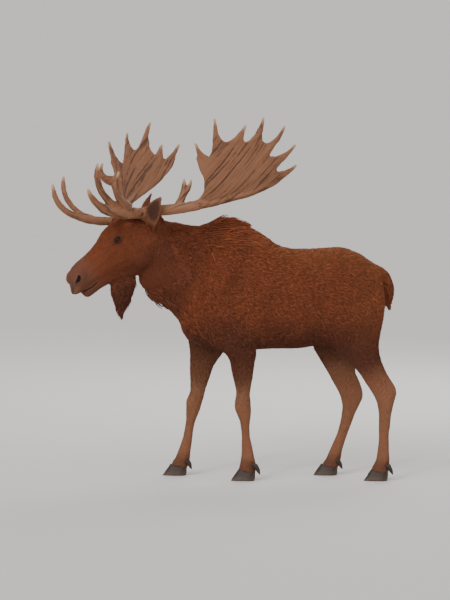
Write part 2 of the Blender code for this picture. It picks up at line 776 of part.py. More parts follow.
def left_antler():
    """The near antler: three brow tines, a forked tine on the beam and a palm with seven tines."""
    return Antler(
        side=1,
        beam=[
            (0.070, 0.060, 1.905, 0.036),
            (0.072, 0.092, 1.935, 0.050),  # burr
            (0.080, 0.130, 1.960, 0.041),
            (0.044, 0.200, 1.979, 0.038),
            (-0.023, 0.260, 1.987, 0.039),
            (-0.086, 0.330, 2.000, 0.037),
            (-0.140, 0.390, 2.011, 0.035),
            (-0.205, 0.432, 2.028, 0.034),
        ],
        brow=[
            [(0.070, 0.105, 1.950, 0.036), (0.145, 0.120, 1.960, 0.040), (0.227, 0.135, 1.963, 0.044),
             (0.334, 0.165, 1.978, 0.043), (0.432, 0.185, 1.994, 0.036), (0.505, 0.200, 2.039, 0.026),
             (0.556, 0.210, 2.091, 0.021), (0.593, 0.217, 2.154, 0.012)],
            [(0.342, 0.170, 2.003, 0.033), (0.410, 0.195, 2.055, 0.028), (0.475, 0.220, 2.120, 0.026),
             (0.518, 0.240, 2.193, 0.023), (0.541, 0.262, 2.272, 0.018), (0.539, 0.280, 2.344, 0.009)],
            [(0.240, 0.165, 2.006, 0.035), (0.311, 0.200, 2.052, 0.030), (0.368, 0.235, 2.114, 0.026),
             (0.396, 0.265, 2.183, 0.023), (0.392, 0.290, 2.235, 0.014), (0.387, 0.310, 2.282, 0.008)],
        ],
        twigs=[
            [(-0.079, 0.320, 2.020, 0.028), (-0.109, 0.325, 2.074, 0.027), (-0.121, 0.330, 2.124, 0.022),
             (-0.120, 0.335, 2.178, 0.015), (-0.119, 0.340, 2.226, 0.006)],
            [(-0.128, 0.328, 2.100, 0.021), (-0.154, 0.340, 2.145, 0.016), (-0.165, 0.350, 2.180, 0.012),
             (-0.164, 0.360, 2.212, 0.006)],
        ],
        palm=Palm(
            origin=(-0.200, 0.420, 2.010),
            diverge=math.radians(12),
            lean=math.radians(20),
            inner=[(-0.075, 0.030), (-0.020, 0.046), (0.015, 0.093), (0.025, 0.172), (0.013, 0.235),
                   (-0.022, 0.300), (-0.050, 0.380)],
            tines=[
                ((-0.065, 0.500), (0.039, 0.405), -0.012),
                ((0.066, 0.684), (0.154, 0.518), -0.014),
                ((0.298, 0.645), (0.296, 0.515), 0.006),
                ((0.430, 0.690), (0.443, 0.500), 0.008),
                ((0.597, 0.617), (0.487, 0.405), 0.032),
                ((0.690, 0.468), (0.552, 0.282), 0.032),
                ((0.713, 0.308), (0.606, 0.195), 0.026),
            ],
            spine=[(0.545, 0.164), (0.491, 0.140), (0.379, 0.092), (0.268, 0.060), (0.090, -0.002),
                   (-0.014, -0.034), (-0.075, -0.054)],
        ),
        brow_cut=(0.150, 0.135, 1.94, 10),
        palm_cut=(-0.170, 0.390, 2.00, 120),
    )


def right_antler():
    """The far antler: a forked brow tine, and a palm with five tines and a low hooked one in front."""
    return Antler(
        side=-1,
        beam=[
            (0.070, 0.060, 1.905, 0.034),
            (0.085, 0.092, 1.918, 0.046),  # burr
            (0.108, 0.135, 1.928, 0.036),
            (0.110, 0.200, 1.944, 0.032),
            (0.078, 0.270, 1.966, 0.031),
            (0.035, 0.330, 1.998, 0.030),
        ],
        brow=[
            [(0.080, 0.095, 1.912, 0.032), (0.199, 0.120, 1.893, 0.031), (0.291, 0.130, 1.888, 0.031),
             (0.374, 0.140, 1.896, 0.032), (0.472, 0.155, 1.916, 0.031), (0.558, 0.170, 1.950, 0.024),
             (0.634, 0.180, 2.015, 0.021), (0.672, 0.190, 2.095, 0.017), (0.679, 0.200, 2.169, 0.010)],
            [(0.378, 0.150, 1.903, 0.026), (0.458, 0.180, 1.938, 0.022), (0.514, 0.210, 1.991, 0.020),
             (0.554, 0.240, 2.061, 0.020), (0.564, 0.270, 2.140, 0.018), (0.546, 0.300, 2.217, 0.010)],
        ],
        palm=Palm(
            origin=(0.030, 0.330, 1.980),
            diverge=math.radians(12),
            lean=math.radians(20),
            inner=[(-0.055, 0.000), (-0.098, 0.066), (-0.116, 0.140), (-0.085, 0.200), (-0.045, 0.255),
                   (-0.060, 0.345)],
            tines=[
                ((-0.046, 0.494), (0.054, 0.329), -0.016),
                ((0.157, 0.558), (0.205, 0.427), -0.014),
                ((0.382, 0.630), (0.371, 0.388), -0.024),
                ((0.455, 0.458), (0.450, 0.346), 0.002),
                ((0.598, 0.448), (0.556, 0.352), 0.016),
            ],
            spine=[(0.519, 0.295), (0.455, 0.235), (0.338, 0.154), (0.184, 0.078), (0.061, 0.018), (-0.010, -0.012)],
            cup=0.06,
            core=0.018,
        ),
        twigs=[
            [(0.045, 0.400, 2.141, 0.039), (0.109, 0.400, 2.160, 0.038), (0.162, 0.400, 2.177, 0.030),
             (0.194, 0.402, 2.210, 0.020), (0.200, 0.406, 2.252, 0.015), (0.184, 0.410, 2.296, 0.008)],
        ],
        brow_cut=(0.160, 0.115, 1.91, -30),
        palm_cut=(0.060, 0.283, 1.97, 90),
    )


# ---- parting and building -----------------------------------------------------------------------------------


def head_block():
    """Everything in front of the plane behind the jaw."""
    frame = skull_frame()
    back = frame @ Vector((0.030, 0, -0.05))
    turn = frame.to_3x3() @ Matrix.Rotation(math.radians(10), 3, "Y")
    centre = back + turn @ Vector((-0.60, 0, 0.0))
    return Block(centre, (1.2, 0.9, 0.78), pitch=-HEAD_DROP + math.radians(10), yaw=HEAD_TURN)


def neck_block():
    """From the jaw back to the root of the neck, ahead of the shoulder."""
    return Block((-0.811, 0.0, 1.742), (1.30, 1.2, 1.30), pitch=math.radians(20))


def flesh_nodes(show_flesh):
    """The trunk, neck, head and legs, cut from one body."""
    whole_legs = legs()
    barrel = fused([trunk_and_neck(), *muscles()], FLESH_VOXEL, 30)
    body = fused([barrel, *head_flesh(), *[leg.flesh() for leg in whole_legs]], FLESH_VOXEL, 6)
    made = {}

    head = inside(thinned(body, HEAD_FACES), head_block())
    for side, name in ((1, "left"), (-1, "right")):
        socket = ball((-EYE_FORWARD, -side * EYE_OUT, EYE_HEIGHT), (EYE_RADIUS + GAP,) * 3, segments=12)
        socket.transform(skull_frame())
        head = largest(boolean(head, socket, "DIFFERENCE"))
        made[f"{name}_eye"] = (eye(side), "eye")
    made["head"] = (head, "coat")

    rest = outside(thinned(body, TRUNK_FACES), head_block())
    made["neck"] = (inside(rest, neck_block()), "coat")
    rest = outside(rest, neck_block())
    for leg in whole_legs:
        rest = outside(rest, leg.top)
    made["trunk"] = (rest, "coat")

    leg_flesh = thinned(body, LEG_FACES)
    for leg in whole_legs:
        limb = inside(leg_flesh, leg.top)
        front, back = leg.coronet()
        slope = math.atan2(front[1] - back[1], back[0] - front[0])
        middle = ((front[0] + back[0]) / 2, leg.y, (front[1] + back[1]) / 2)
        deep = 0.5
        down = Vector((math.sin(-slope), 0, -math.cos(slope))) * deep / 2
        hoof_block = Block(Vector(middle) + down, (deep, deep, deep), pitch=slope)
        limb = outside(limb, hoof_block)
        split = Block(((leg.toe + leg.heel) / 2, leg.y, leg.parting - 0.75), (1.5, 0.6, 1.5))
        made[f"{leg.name}_lower"] = (inside(limb, split), "leg")
        made[f"{leg.name}_upper"] = (outside(limb, split), "coat")
        lower = made[f"{leg.name}_lower"][0]
        for side, place in ((1, "right"), (-1, "left")):
            made[f"{leg.name}_{place}_claw"] = (claw(leg, side), "hoof")
            made[f"{leg.name}_{place}_dewclaw"] = (against(dewclaw(leg, side), lower), "hoof")
    for name, (mesh, slot) in made.items():
        show_flesh(name, mesh, slot)
    return made


def hung_nodes(made, show_node):
    """Ears, bell and tail, each cut back to the flesh that it grows from."""
    for side, name, base, bend, tip, facing in (
        (1, "left_ear", (0.036, 0.108, 1.838), (0.116, 0.290, 1.990), (0.062, 0.330, 2.086), (0.75, 0.8, 0.1)),
        (-1, "right_ear", (-0.015, 0.108, 1.850), (-0.055, 0.185, 1.955), (-0.104, 0.195, 2.078), (0.8, 0.8, 0.0)),
    ):
        opening = by_poll(*facing, side) - by_poll(0, 0, 0, side)
        leaf = ear(by_poll(*base, side), by_poll(*bend, side), by_poll(*tip, side), opening)
        show_node(name, against(against(leaf, made["head"][0]), made["neck"][0]), "coat")
    show_node("bell", against(against(bell(), made["head"][0]), made["neck"][0]), "coat")
    show_node("tail", against(tail(), made["trunk"][0]), "coat")


def antler_nodes(made, show_node):
    """Each antler in three lengths, parted where the brow tines and the palm leave the beam."""
    for name, antler in (("left", left_antler()), ("right", right_antler())):
        whole = against(thinned(antler.whole(), ANTLER_FACES), made["head"][0])
        brow = antler.cutting_block(antler.brow_cut)
        palm = antler.cutting_block(antler.palm_cut)
        show_node(f"{name}_antler_brow", inside(whole, brow), "antler")
        show_node(f"{name}_antler_palm", inside(whole, palm), "antler")
        show_node(f"{name}_antler_beam", outside(outside(whole, brow), palm), "antler")


def stand_over_origin(collection):
    """Moves the animal so that the floor under the middle of its bounding box is the origin."""
    points = [v.co for node in collection.objects for v in node.data.vertices]
    low = Vector([min(p[i] for p in points) for i in range(3)])
    high = Vector([max(p[i] for p in points) for i in range(3)])
    shift = Matrix.Translation((-(low.x + high.x) / 2, -(low.y + high.y) / 2, -low.z))
    for node in collection.objects:
        node.data.transform(shift)


def main():
    clear_scene()
    collection = bpy.data.collections.new("moose")
    bpy.context.scene.collection.children.link(collection)
    finishes = {name: material(name, colour, 0.85) for name, colour in BROWN.items()}
    finishes.update({name: material(name, colour, 0.35) for name, colour in HORN.items()})

    def show_node(name, mesh, slot):
        return show(name, mesh, finishes[slot], collection)

    made = flesh_nodes(show_node)
    hung_nodes(made, show_node)
    antler_nodes(made, show_node)
    stand_over_origin(collection)


main()
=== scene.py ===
"""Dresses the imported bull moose: one skin, a coat of hair locks, lids and eyes, antlers and hooves.

Sizes are in metres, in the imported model's own frame: the animal faces -X, its left side is towards -Y and it
stands on z = 0. Head lengths are given in the skull's frame, in which -X runs down the face to the nose.
"""

from __future__ import annotations

import heapq
import itertools
import json
import logging
import math
import sys
from dataclasses import dataclass, field
from enum import Enum
from typing import Any, Iterable, Sequence

import bmesh
import bpy
import numpy as np
from mathutils import Matrix, Vector
from mathutils.bvhtree import BVHTree

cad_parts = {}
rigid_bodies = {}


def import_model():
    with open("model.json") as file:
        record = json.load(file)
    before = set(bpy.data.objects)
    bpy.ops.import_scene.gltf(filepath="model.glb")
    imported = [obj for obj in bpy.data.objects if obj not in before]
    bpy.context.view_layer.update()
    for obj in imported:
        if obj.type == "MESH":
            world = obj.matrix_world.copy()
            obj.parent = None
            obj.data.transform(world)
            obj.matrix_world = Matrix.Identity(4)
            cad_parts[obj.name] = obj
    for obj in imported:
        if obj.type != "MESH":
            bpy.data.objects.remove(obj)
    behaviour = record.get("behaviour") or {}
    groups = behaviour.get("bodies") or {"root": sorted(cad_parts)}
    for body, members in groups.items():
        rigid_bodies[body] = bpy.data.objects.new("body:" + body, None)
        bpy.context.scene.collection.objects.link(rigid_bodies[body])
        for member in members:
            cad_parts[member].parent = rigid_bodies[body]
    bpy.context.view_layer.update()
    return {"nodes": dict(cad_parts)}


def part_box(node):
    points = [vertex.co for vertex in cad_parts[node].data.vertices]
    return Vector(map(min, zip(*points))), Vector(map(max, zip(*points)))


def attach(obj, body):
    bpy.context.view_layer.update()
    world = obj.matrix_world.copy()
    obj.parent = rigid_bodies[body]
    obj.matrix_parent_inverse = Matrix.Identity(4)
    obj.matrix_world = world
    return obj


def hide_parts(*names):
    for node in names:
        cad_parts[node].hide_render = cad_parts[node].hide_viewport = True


LOG = logging.getLogger("moose")
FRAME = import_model()
SEED = 7
SAME_PLACE = 0.00001  # vertices closer than this are one
EYE_RADIUS = 0.0212
LIMBS = ("left_foreleg", "right_foreleg", "left_hindleg", "right_hindleg")
SIDES = (("left", -1), ("right", 1))
EARS = ("left_ear", "right_ear")


class Region(Enum):
    """The parts of the body whose coats differ."""

    HEAD = 0
    NECK = 1
    TRUNK = 2
    BELL = 3
    TAIL = 4
    EAR = 5
    UPPER_LEG = 6
    LOWER_LEG = 7


@dataclass(frozen=True)
class Hair:
    """One region's coat: how thick it stands, its locks' length, width and spacing, and how many passes
    smooth the skin beneath it."""

    depth: float
    length: float
    width: float
    spacing: float
    passes: int


HAIR: dict[Region, Hair] = {
    Region.HEAD: Hair(depth=0.006, length=0.017, width=0.0026, spacing=0.0044, passes=5),
    Region.NECK: Hair(depth=0.018, length=0.074, width=0.0056, spacing=0.0061, passes=18),
    Region.TRUNK: Hair(depth=0.013, length=0.056, width=0.0050, spacing=0.0054, passes=26),
    Region.BELL: Hair(depth=0.014, length=0.060, width=0.0050, spacing=0.0048, passes=6),
    Region.TAIL: Hair(depth=0.009, length=0.046, width=0.0045, spacing=0.0048, passes=4),
    Region.EAR: Hair(depth=0.002, length=0.014, width=0.0024, spacing=0.0042, passes=1),
    Region.UPPER_LEG: Hair(depth=0.007, length=0.034, width=0.0042, spacing=0.0057, passes=10),
    Region.LOWER_LEG: Hair(depth=0.0025, length=0.020, width=0.0025, spacing=0.0047, passes=5),
}

HANGING = (("bell", Region.BELL), ("tail", Region.TAIL))


def region_of(node: str) -> Region | None:
    """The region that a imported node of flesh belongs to, or None where it isn't flesh.

    Args:
        node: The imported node's name.

    Returns:
        Its region, or None.
    """
    names = {region.name.lower(): region for region in (Region.HEAD, Region.NECK, Region.TRUNK)}
    names |= {**dict(HANGING), **dict.fromkeys(EARS, Region.EAR)}
    for limb in LIMBS:
        names |= {f"{limb}_upper": Region.UPPER_LEG, f"{limb}_lower": Region.LOWER_LEG}
    return names.get(node)


# ---- numbers ----------------------------------------------------------------------------------------------


def linear(code: str) -> tuple[float, float, float, float]:
    """Turns an sRGB hex colour into linear light.

    Args:
        code: The colour, such as "#6c3d29".

    Returns:
        Red, green, blue and an alpha of 1.
    """
    parts = [int(code[i : i + 2], 16) / 255 for i in (1, 3, 5)]
    return (*[p / 12.92 if p <= 0.04045 else ((p + 0.055) / 1.055) ** 2.4 for p in parts], 1.0)


def ramp(values: np.ndarray, start: float, end: float) -> np.ndarray:
    """Goes smoothly from 0 at start to 1 at end, whichever of the two is larger."""
    t = np.clip((values - start) / (end - start), 0.0, 1.0)
    return t * t * (3 - 2 * t)


def bump(values: np.ndarray, middle: float, width: float) -> np.ndarray:
    """A smooth hump of height 1 at the middle, gone beyond that width."""
    return 1 - ramp(np.abs(values - middle), 0.0, width)


def unit(vectors: np.ndarray) -> np.ndarray:
    """The rows at length 1."""
    return vectors / np.maximum(np.linalg.norm(vectors, axis=1, keepdims=True), 1e-12)


def along_surface(vectors: np.ndarray, normals: np.ndarray) -> np.ndarray:
    """The rows laid flat on a surface with those normals, at length 1."""
    return unit(vectors - normals * np.sum(vectors * normals, axis=1, keepdims=True))


def noise(points: np.ndarray, size: float, seed: int = 0) -> np.ndarray:
    """Smooth random values in space.

    Args:
        points: One row for each point.
        size: How far apart the random values are.
        seed: Picks another pattern.

    Returns:
        A value from -1 to 1 for each point.
    """
    scaled = points / size + 31.7 * (seed + 1)
    cell = np.floor(scaled).astype(np.int64)
    part = scaled - cell
    part = part * part * (3 - 2 * part)
    total = np.zeros(len(points))
    for corner in itertools.product((0, 1), repeat=3):
        x, y, z = (cell + corner).T
        mixed = (x * 73856093 ^ y * 19349663 ^ z * 83492791) & 0xFFFFFFFF
        mixed = ((mixed ^ (mixed >> 13)) * 1274126177) & 0xFFFFFFFF
        value = ((mixed ^ (mixed >> 16)) & 0xFFFF) / 32767.5 - 1
        total += value * np.prod(np.where(corner, part, 1 - part), axis=1)
    return total


class Web:
    """A mesh's vertices, each with its neighbours."""

    def __init__(self, mesh: bpy.types.Mesh) -> None:
        """Reads the mesh's edges.

        Args:
            mesh: The surface whose edges are read.
        """
        edges = np.empty(len(mesh.edges) * 2, np.int32)
        mesh.edges.foreach_get("vertices", edges)
        edges = edges.reshape(-1, 2)
        both = np.concatenate([edges, edges[:, ::-1]])
        both = both[np.argsort(both[:, 0], kind="stable")]
        self.source, self.target = both.T
        self.degree = np.bincount(self.source, minlength=len(mesh.vertices))
        self.start = np.concatenate([[0], np.cumsum(self.degree)[:-1]])

    def mean(self, values: np.ndarray) -> np.ndarray:
        """The mean over each vertex's neighbours."""
        return np.add.reduceat(values[self.target], self.start, axis=0) / self.degree.reshape(
            -1, *[1] * (values.ndim - 1)
        )

    def spread(self, values: np.ndarray, passes: int) -> np.ndarray:
        """The values blurred over the surface that many times."""
        for _ in range(passes):
            values = (values + self.mean(values)) / 2
        return values

    def relaxed(self, points: np.ndarray, passes: np.ndarray) -> np.ndarray:
        """Smooths a surface without shrinking it.

        Args:
            points: The vertices.
            passes: How many passes each vertex takes part in.

        Returns:
            The moved vertices.
        """
        for step in range(int(passes.max())):
            moving = (passes > step)[:, None]
            for strength in (0.52, -0.54):
                points = points + moving * strength * (self.mean(points) - points)
        return points

    def evened(self, points: np.ndarray, normals: np.ndarray, share: np.ndarray, passes: int) -> np.ndarray:
        """Smooths creases out of a surface but keeps its larger form.

        Args:
            points: The vertices.
            normals: Their normals.
            share: How much each takes part, from 0 to 1.
            passes: How many passes smooth it, and so how wide a crease goes.

        Returns:
            The moved vertices.
        """
        moved = points
        for _ in range(passes):
            moved = moved + share[:, None] * (self.mean(moved) - moved) / 2
        sunk = self.spread(((moved - points) * normals).sum(axis=1), 2 * passes)
        return moved - normals * sunk[:, None]

    def distances(self, points: np.ndarray, sources: Iterable[int]) -> np.ndarray:
        """How far each vertex is from the nearest source, along the edges.

        Args:
            points: The vertices.
            sources: The numbers of the vertices to measure from.

        Returns:
            The distance at each vertex.
        """
        lengths = np.linalg.norm(points[self.source] - points[self.target], axis=1).tolist()
        target, start, degree = self.target.tolist(), self.start.tolist(), self.degree.tolist()
        best = [math.inf] * len(points)
        queue = [(0.0, int(s)) for s in sources]
        for _, vertex in queue:
            best[vertex] = 0.0
        heapq.heapify(queue)
        while queue:
            far, vertex = heapq.heappop(queue)
            if far > best[vertex]:
                continue
            for i in range(start[vertex], start[vertex] + degree[vertex]):
                reach = far + lengths[i]
                if reach < best[target[i]]:
                    best[target[i]] = reach
                    heapq.heappush(queue, (reach, target[i]))
        return np.array(best)


class Flow:
    """Directions kept in small cells of space, so that they can be followed from any point."""

    def __init__(self, points: np.ndarray, ways: np.ndarray, cell: float) -> None:
        """Averages the directions at the points in cells.

        Args:
            points: The points.
            ways: The direction at each.
            cell: The cells' width.
        """
        self.cell = cell
        keys = self.keys(points)
        order = np.argsort(keys, kind="stable")
        self.known, start = np.unique(keys[order], return_index=True)
        self.ways = unit(np.add.reduceat(ways[order], start, axis=0))

    def keys(self, points: np.ndarray) -> np.ndarray:
        """A number for the cell that each point is in."""
        x, y, z = np.floor(points / self.cell).astype(np.int64).T
        return x * 73856093 ^ y * 19349663 ^ z * 83492791

    def smeared(
        self, points: np.ndarray, ways: np.ndarray, size: float, reach: float, seed: int
    ) -> np.ndarray:
        """Random values drawn out into streaks along the directions.

        Args:
            points: Where they are wanted.
            ways: The direction there.
            size: How wide the streaks are.
            reach: How far each is drawn out to either side.
            seed: Picks another pattern.

        Returns:
            A value from about -1 to 1 for each point.
        """
        steps = int(reach / size)
        total = noise(points, size, seed)
        for sign in (1, -1):
            place, way = points, sign * ways
            for _ in range(steps):
                place = place + way * size
                keys = self.keys(place)
                spot = np.minimum(np.searchsorted(self.known, keys), len(self.known) - 1)
                found = (self.known[spot] == keys)[:, None]
                way = np.where(found, sign * self.ways[spot], way)
                total = total + noise(place, size, seed)
        return np.clip(total / (2.0 * total.std()), -1, 1)


# ---- meshes -----------------------------------------------------------------------------------------------


def points_of(mesh: bpy.types.Mesh) -> np.ndarray:
    """The mesh's vertices.

    Args:
        mesh: The mesh to read.

    Returns:
        One row for each vertex.
    """
    flat = np.empty(len(mesh.vertices) * 3)
    mesh.vertices.foreach_get("co", flat)
    return flat.reshape(-1, 3)


def set_points(mesh: bpy.types.Mesh, points: np.ndarray) -> None:
    """Moves the mesh's vertices there."""
    mesh.vertices.foreach_set("co", np.ascontiguousarray(points, np.float32).ravel())
    mesh.update()


def normals_of(mesh: bpy.types.Mesh) -> np.ndarray:
    """The mesh's vertex normals.

    Args:
        mesh: The mesh to read.

    Returns:
        One row for each vertex.
    """
    flat = np.empty(len(mesh.vertices) * 3, np.float32)
    mesh.vertex_normals.foreach_get("vector", flat)
    return flat.reshape(-1, 3).astype(float)


def keep(mesh: bpy.types.Mesh, name: str, values: np.ndarray) -> None:
    """Stores a value, vector or colour for each vertex under that name.

    Args:
        mesh: The mesh that carries it.
        name: What materials and trees read it by.
        values: One number, three numbers or four numbers for each vertex.
    """
    columns = 1 if values.ndim == 1 else values.shape[1]
    kind, key = {1: ("FLOAT", "value"), 3: ("FLOAT_VECTOR", "vector"), 4: ("FLOAT_COLOR", "color")}[columns]
    layer = mesh.attributes.new(name, kind, "POINT")
    layer.data.foreach_set(key, np.ascontiguousarray(values, np.float32).ravel())


def put(name: str, data: Any) -> bpy.types.Object:
    """Puts a new object into the scene.

    Args:
        name: The object's name.
        data: Its mesh, light or camera.

    Returns:
        The object.
    """
    shown = bpy.data.objects.new(name, data)
    bpy.context.scene.collection.objects.link(shown)
    return shown


def opened(mesh: bpy.types.Mesh) -> bmesh.types.BMesh:
    """Opens a mesh for editing.

    Args:
        mesh: The mesh to copy.

    Returns:
        The copy that is edited.
    """
    bm = bmesh.new()
    bm.from_mesh(mesh)
    return bm


def closed(bm: bmesh.types.BMesh, mesh: bpy.types.Mesh) -> bpy.types.Mesh:
    """Writes what was edited into a mesh, smooth-shaded.

    Args:
        bm: What was edited; it is freed.
        mesh: The mesh to overwrite.

    Returns:
        That same mesh.
    """
    for face in bm.faces:
        face.smooth = True
    bm.to_mesh(mesh)
    bm.free()
    return mesh


def polygon_mesh(name: str, points: Sequence, faces: Sequence) -> bpy.types.Mesh:
    """A smooth-shaded mesh from its points and faces, turned outwards.

    Args:
        name: The mesh's name.
        points: Its vertices.
        faces: Its faces, as vertex numbers.

    Returns:
        The mesh.
    """
    mesh = bpy.data.meshes.new(name)
    mesh.from_pydata([tuple(p) for p in points], [], [tuple(f) for f in faces])
    bm = opened(mesh)
    if bm.calc_volume(signed=True) < 0:
        bmesh.ops.reverse_faces(bm, faces=bm.faces)
    return closed(bm, mesh)


def surface_of(mesh: bpy.types.Mesh) -> BVHTree:
    """The mesh's surface, to look up the nearest points on it."""
    return BVHTree.FromPolygons([v.co for v in mesh.vertices], [p.vertices for p in mesh.polygons])


def joined(name: str, meshes: Iterable[bpy.types.Mesh]) -> bpy.types.Mesh:
    """Joins meshes as they stand.

    Args:
        name: The new mesh's name.
        meshes: The meshes to join.

    Returns:
        The new mesh.
    """
    whole = bmesh.new()
    for mesh in meshes:
        whole.from_mesh(mesh)
    return closed(whole, bpy.data.meshes.new(name))


def swollen(node: str, grown: float) -> bpy.types.Mesh:
    """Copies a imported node's mesh, grown so that neighbours meet.

    Args:
        node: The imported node's name.
        grown: How far its surface moves outwards.

    Returns:
        The copy.
    """
    bm = opened(FRAME["nodes"][node].data)
    bmesh.ops.remove_doubles(bm, verts=bm.verts, dist=SAME_PLACE)
    bm.normal_update()
    moves = [(v, v.normal * grown) for v in bm.verts]
    for vertex, move in moves:
        vertex.co += move
    return closed(bm, bpy.data.meshes.new("part"))


def evaluated(carrier: bpy.types.Object) -> bpy.types.Mesh:
    """Carries out an object's modifiers and takes the object away.

    Args:
        carrier: The object.

    Returns:
        A plain mesh of the outcome.
    """
    depsgraph = bpy.context.evaluated_depsgraph_get()
    mesh = bpy.data.meshes.new_from_object(carrier.evaluated_get(depsgraph), depsgraph=depsgraph)
    bpy.data.objects.remove(carrier)
    return mesh


def remeshed(mesh: bpy.types.Mesh, voxel: float) -> bpy.types.Mesh:
    """Melts the mesh's shells into one closed surface of even quads.

    Args:
        mesh: Closed shells, which may overlap.
        voxel: The quads' size.

    Returns:
        The largest closed surface that results.
    """
    carrier = put("melt", mesh)
    melt = carrier.modifiers.new("melt", "REMESH")
    melt.mode, melt.voxel_size, melt.use_smooth_shade = "VOXEL", voxel, True
    result = evaluated(carrier)
    bm = opened(result)
    seen: set = set()
    shells = []
    for seed in bm.verts:
        if seed in seen:
            continue
        shell, front = [], [seed]
        seen.add(seed)
        while front:
            vertex = front.pop()
            shell.append(vertex)
            found = {edge.other_vert(vertex) for edge in vertex.link_edges} - seen
            seen |= found
            front += found
        shells.append(shell)
    shells.sort(key=len)
    bmesh.ops.delete(bm, geom=[v for shell in shells[:-1] for v in shell], context="VERTS")
    return closed(bm, result)


def piece(name: str, mesh: bpy.types.Mesh, finish: bpy.types.Material, slot: str, *nodes: str) -> None:
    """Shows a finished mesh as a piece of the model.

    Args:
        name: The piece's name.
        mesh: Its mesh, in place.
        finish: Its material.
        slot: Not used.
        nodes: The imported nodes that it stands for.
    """
    shown = put(name, mesh)
    mesh.materials.clear()
    mesh.materials.append(finish)
    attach(shown, "root")
    if nodes:
        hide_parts(*nodes)
    triangles = sum(len(p.vertices) - 2 for p in mesh.polygons)
    LOG.info("%s: %d triangles", name, triangles)


# ---- finishes ---------------------------------------------------------------------------------------------


def add_node(tree: Any, kind: str, settings: dict | None = None, inputs: dict | None = None) -> Any:
    """Adds a node with its settings and links.

    Args:
        tree: The node tree.
        kind: The node's type.
        settings: Its properties by name.
        inputs: Its sockets, by name or number, each with a value or with the socket that feeds it.

    Returns:
        The node.
    """
    node = tree.nodes.new(kind)
    for name, value in (settings or {}).items():
        setattr(node, name, value)
    for socket, value in (inputs or {}).items():
        if isinstance(value, bpy.types.NodeSocket):
            tree.links.new(value, node.inputs[socket])
        else:
            node.inputs[socket].default_value = value
    return node


def calculate(tree: Any, operation: str, *values: Any) -> Any:
    """Adds a sum on numbers or sockets and returns its result's socket."""
    return add_node(tree, "ShaderNodeMath", {"operation": operation}, dict(enumerate(values))).outputs[0]


def distance(tree: Any, *sides: Any) -> Any:
    """Adds the length that two sides at right angles span and returns its socket."""
    squares = [calculate(tree, "POWER", side, 2.0) for side in sides]
    return calculate(tree, "SQRT", calculate(tree, "ADD", *squares))


def smooth_step(tree: Any, value: Any, start: float, end: float) -> Any:
    """Adds a smooth step from 0 at start to 1 at end and returns its socket."""
    settings = {"interpolation_type": "SMOOTHSTEP"}
    return add_node(tree, "ShaderNodeMapRange", settings, {0: value, 1: start, 2: end}).outputs[0]


def added(tree: Any, first: Any, second: Any) -> Any:
    """Adds the sum of two vectors and returns its socket."""
    return add_node(tree, "ShaderNodeVectorMath", {"operation": "ADD"}, {0: first, 1: second}).outputs[0]


def scaled(tree: Any, vector: Any, factor: Any) -> Any:
    """Adds a vector's product with a number and returns its socket."""
    inputs = {0: vector, "Scale": factor}
    return add_node(tree, "ShaderNodeVectorMath", {"operation": "SCALE"}, inputs).outputs[0]


def carried(tree: Any, name: str, output: str = "Fac") -> Any:
    """Adds what the mesh's vertices carry under that name and returns its socket."""
    return add_node(tree, "ShaderNodeAttribute", {"attribute_name": name}).outputs[output]


def place_of(tree: Any) -> Any:
    """Adds the place in the model's own space and returns its socket."""
    return add_node(tree, "ShaderNodeTexCoord").outputs["Object"]


def grain(tree: Any, place: Any, scale: float, detail: float, dimensions: str = "3D") -> Any:
    """Adds a noise at that place, that fine and detailed, and returns its socket."""
    inputs = {"Vector": place, "Scale": scale, "Detail": detail}
    return add_node(tree, "ShaderNodeTexNoise", {"noise_dimensions": dimensions}, inputs).outputs["Fac"]


def blended(tree: Any, share: Any, first: Any, second: Any) -> Any:
    """Adds a mix of two colours, each a socket or an sRGB code.

    Args:
        tree: The material's node tree.
        share: The second colour's share.
        first: The first colour.
        second: The second colour.

    Returns:
        The mix's socket.
    """
    colours = [linear(c) if isinstance(c, str) else c for c in (first, second)]
    inputs = {0: share, 6: colours[0], 7: colours[1]}
    return add_node(tree, "ShaderNodeMix", {"data_type": "RGBA"}, inputs).outputs[2]


def new_finish(name: str, **sockets: Any) -> tuple[bpy.types.Material, Any]:
    """Starts a material.

    Args:
        name: The real material that it stands for.
        sockets: The shader's constant values, with spaces as underscores.

    Returns:
        The material and its node tree.
    """
    finish = bpy.data.materials.new(name)
    finish.use_nodes = True
    shader = finish.node_tree.nodes["Principled BSDF"]
    for socket, value in sockets.items():
        shader.inputs[socket.replace("_", " ")].default_value = value
    return finish, finish.node_tree


def feed(tree: Any, socket: str, value: Any) -> None:
    """Feeds a socket's value into the material's shader."""
    tree.links.new(value, tree.nodes["Principled BSDF"].inputs[socket])


def feed_bump(tree: Any, height: Any, strength: float, depth: float) -> None:
    """Feeds a height in as the material's relief, that strong and that deep in metres."""
    inputs = {"Height": height, "Strength": strength, "Distance": depth}
    feed(tree, "Normal", add_node(tree, "ShaderNodeBump", inputs=inputs).outputs["Normal"])


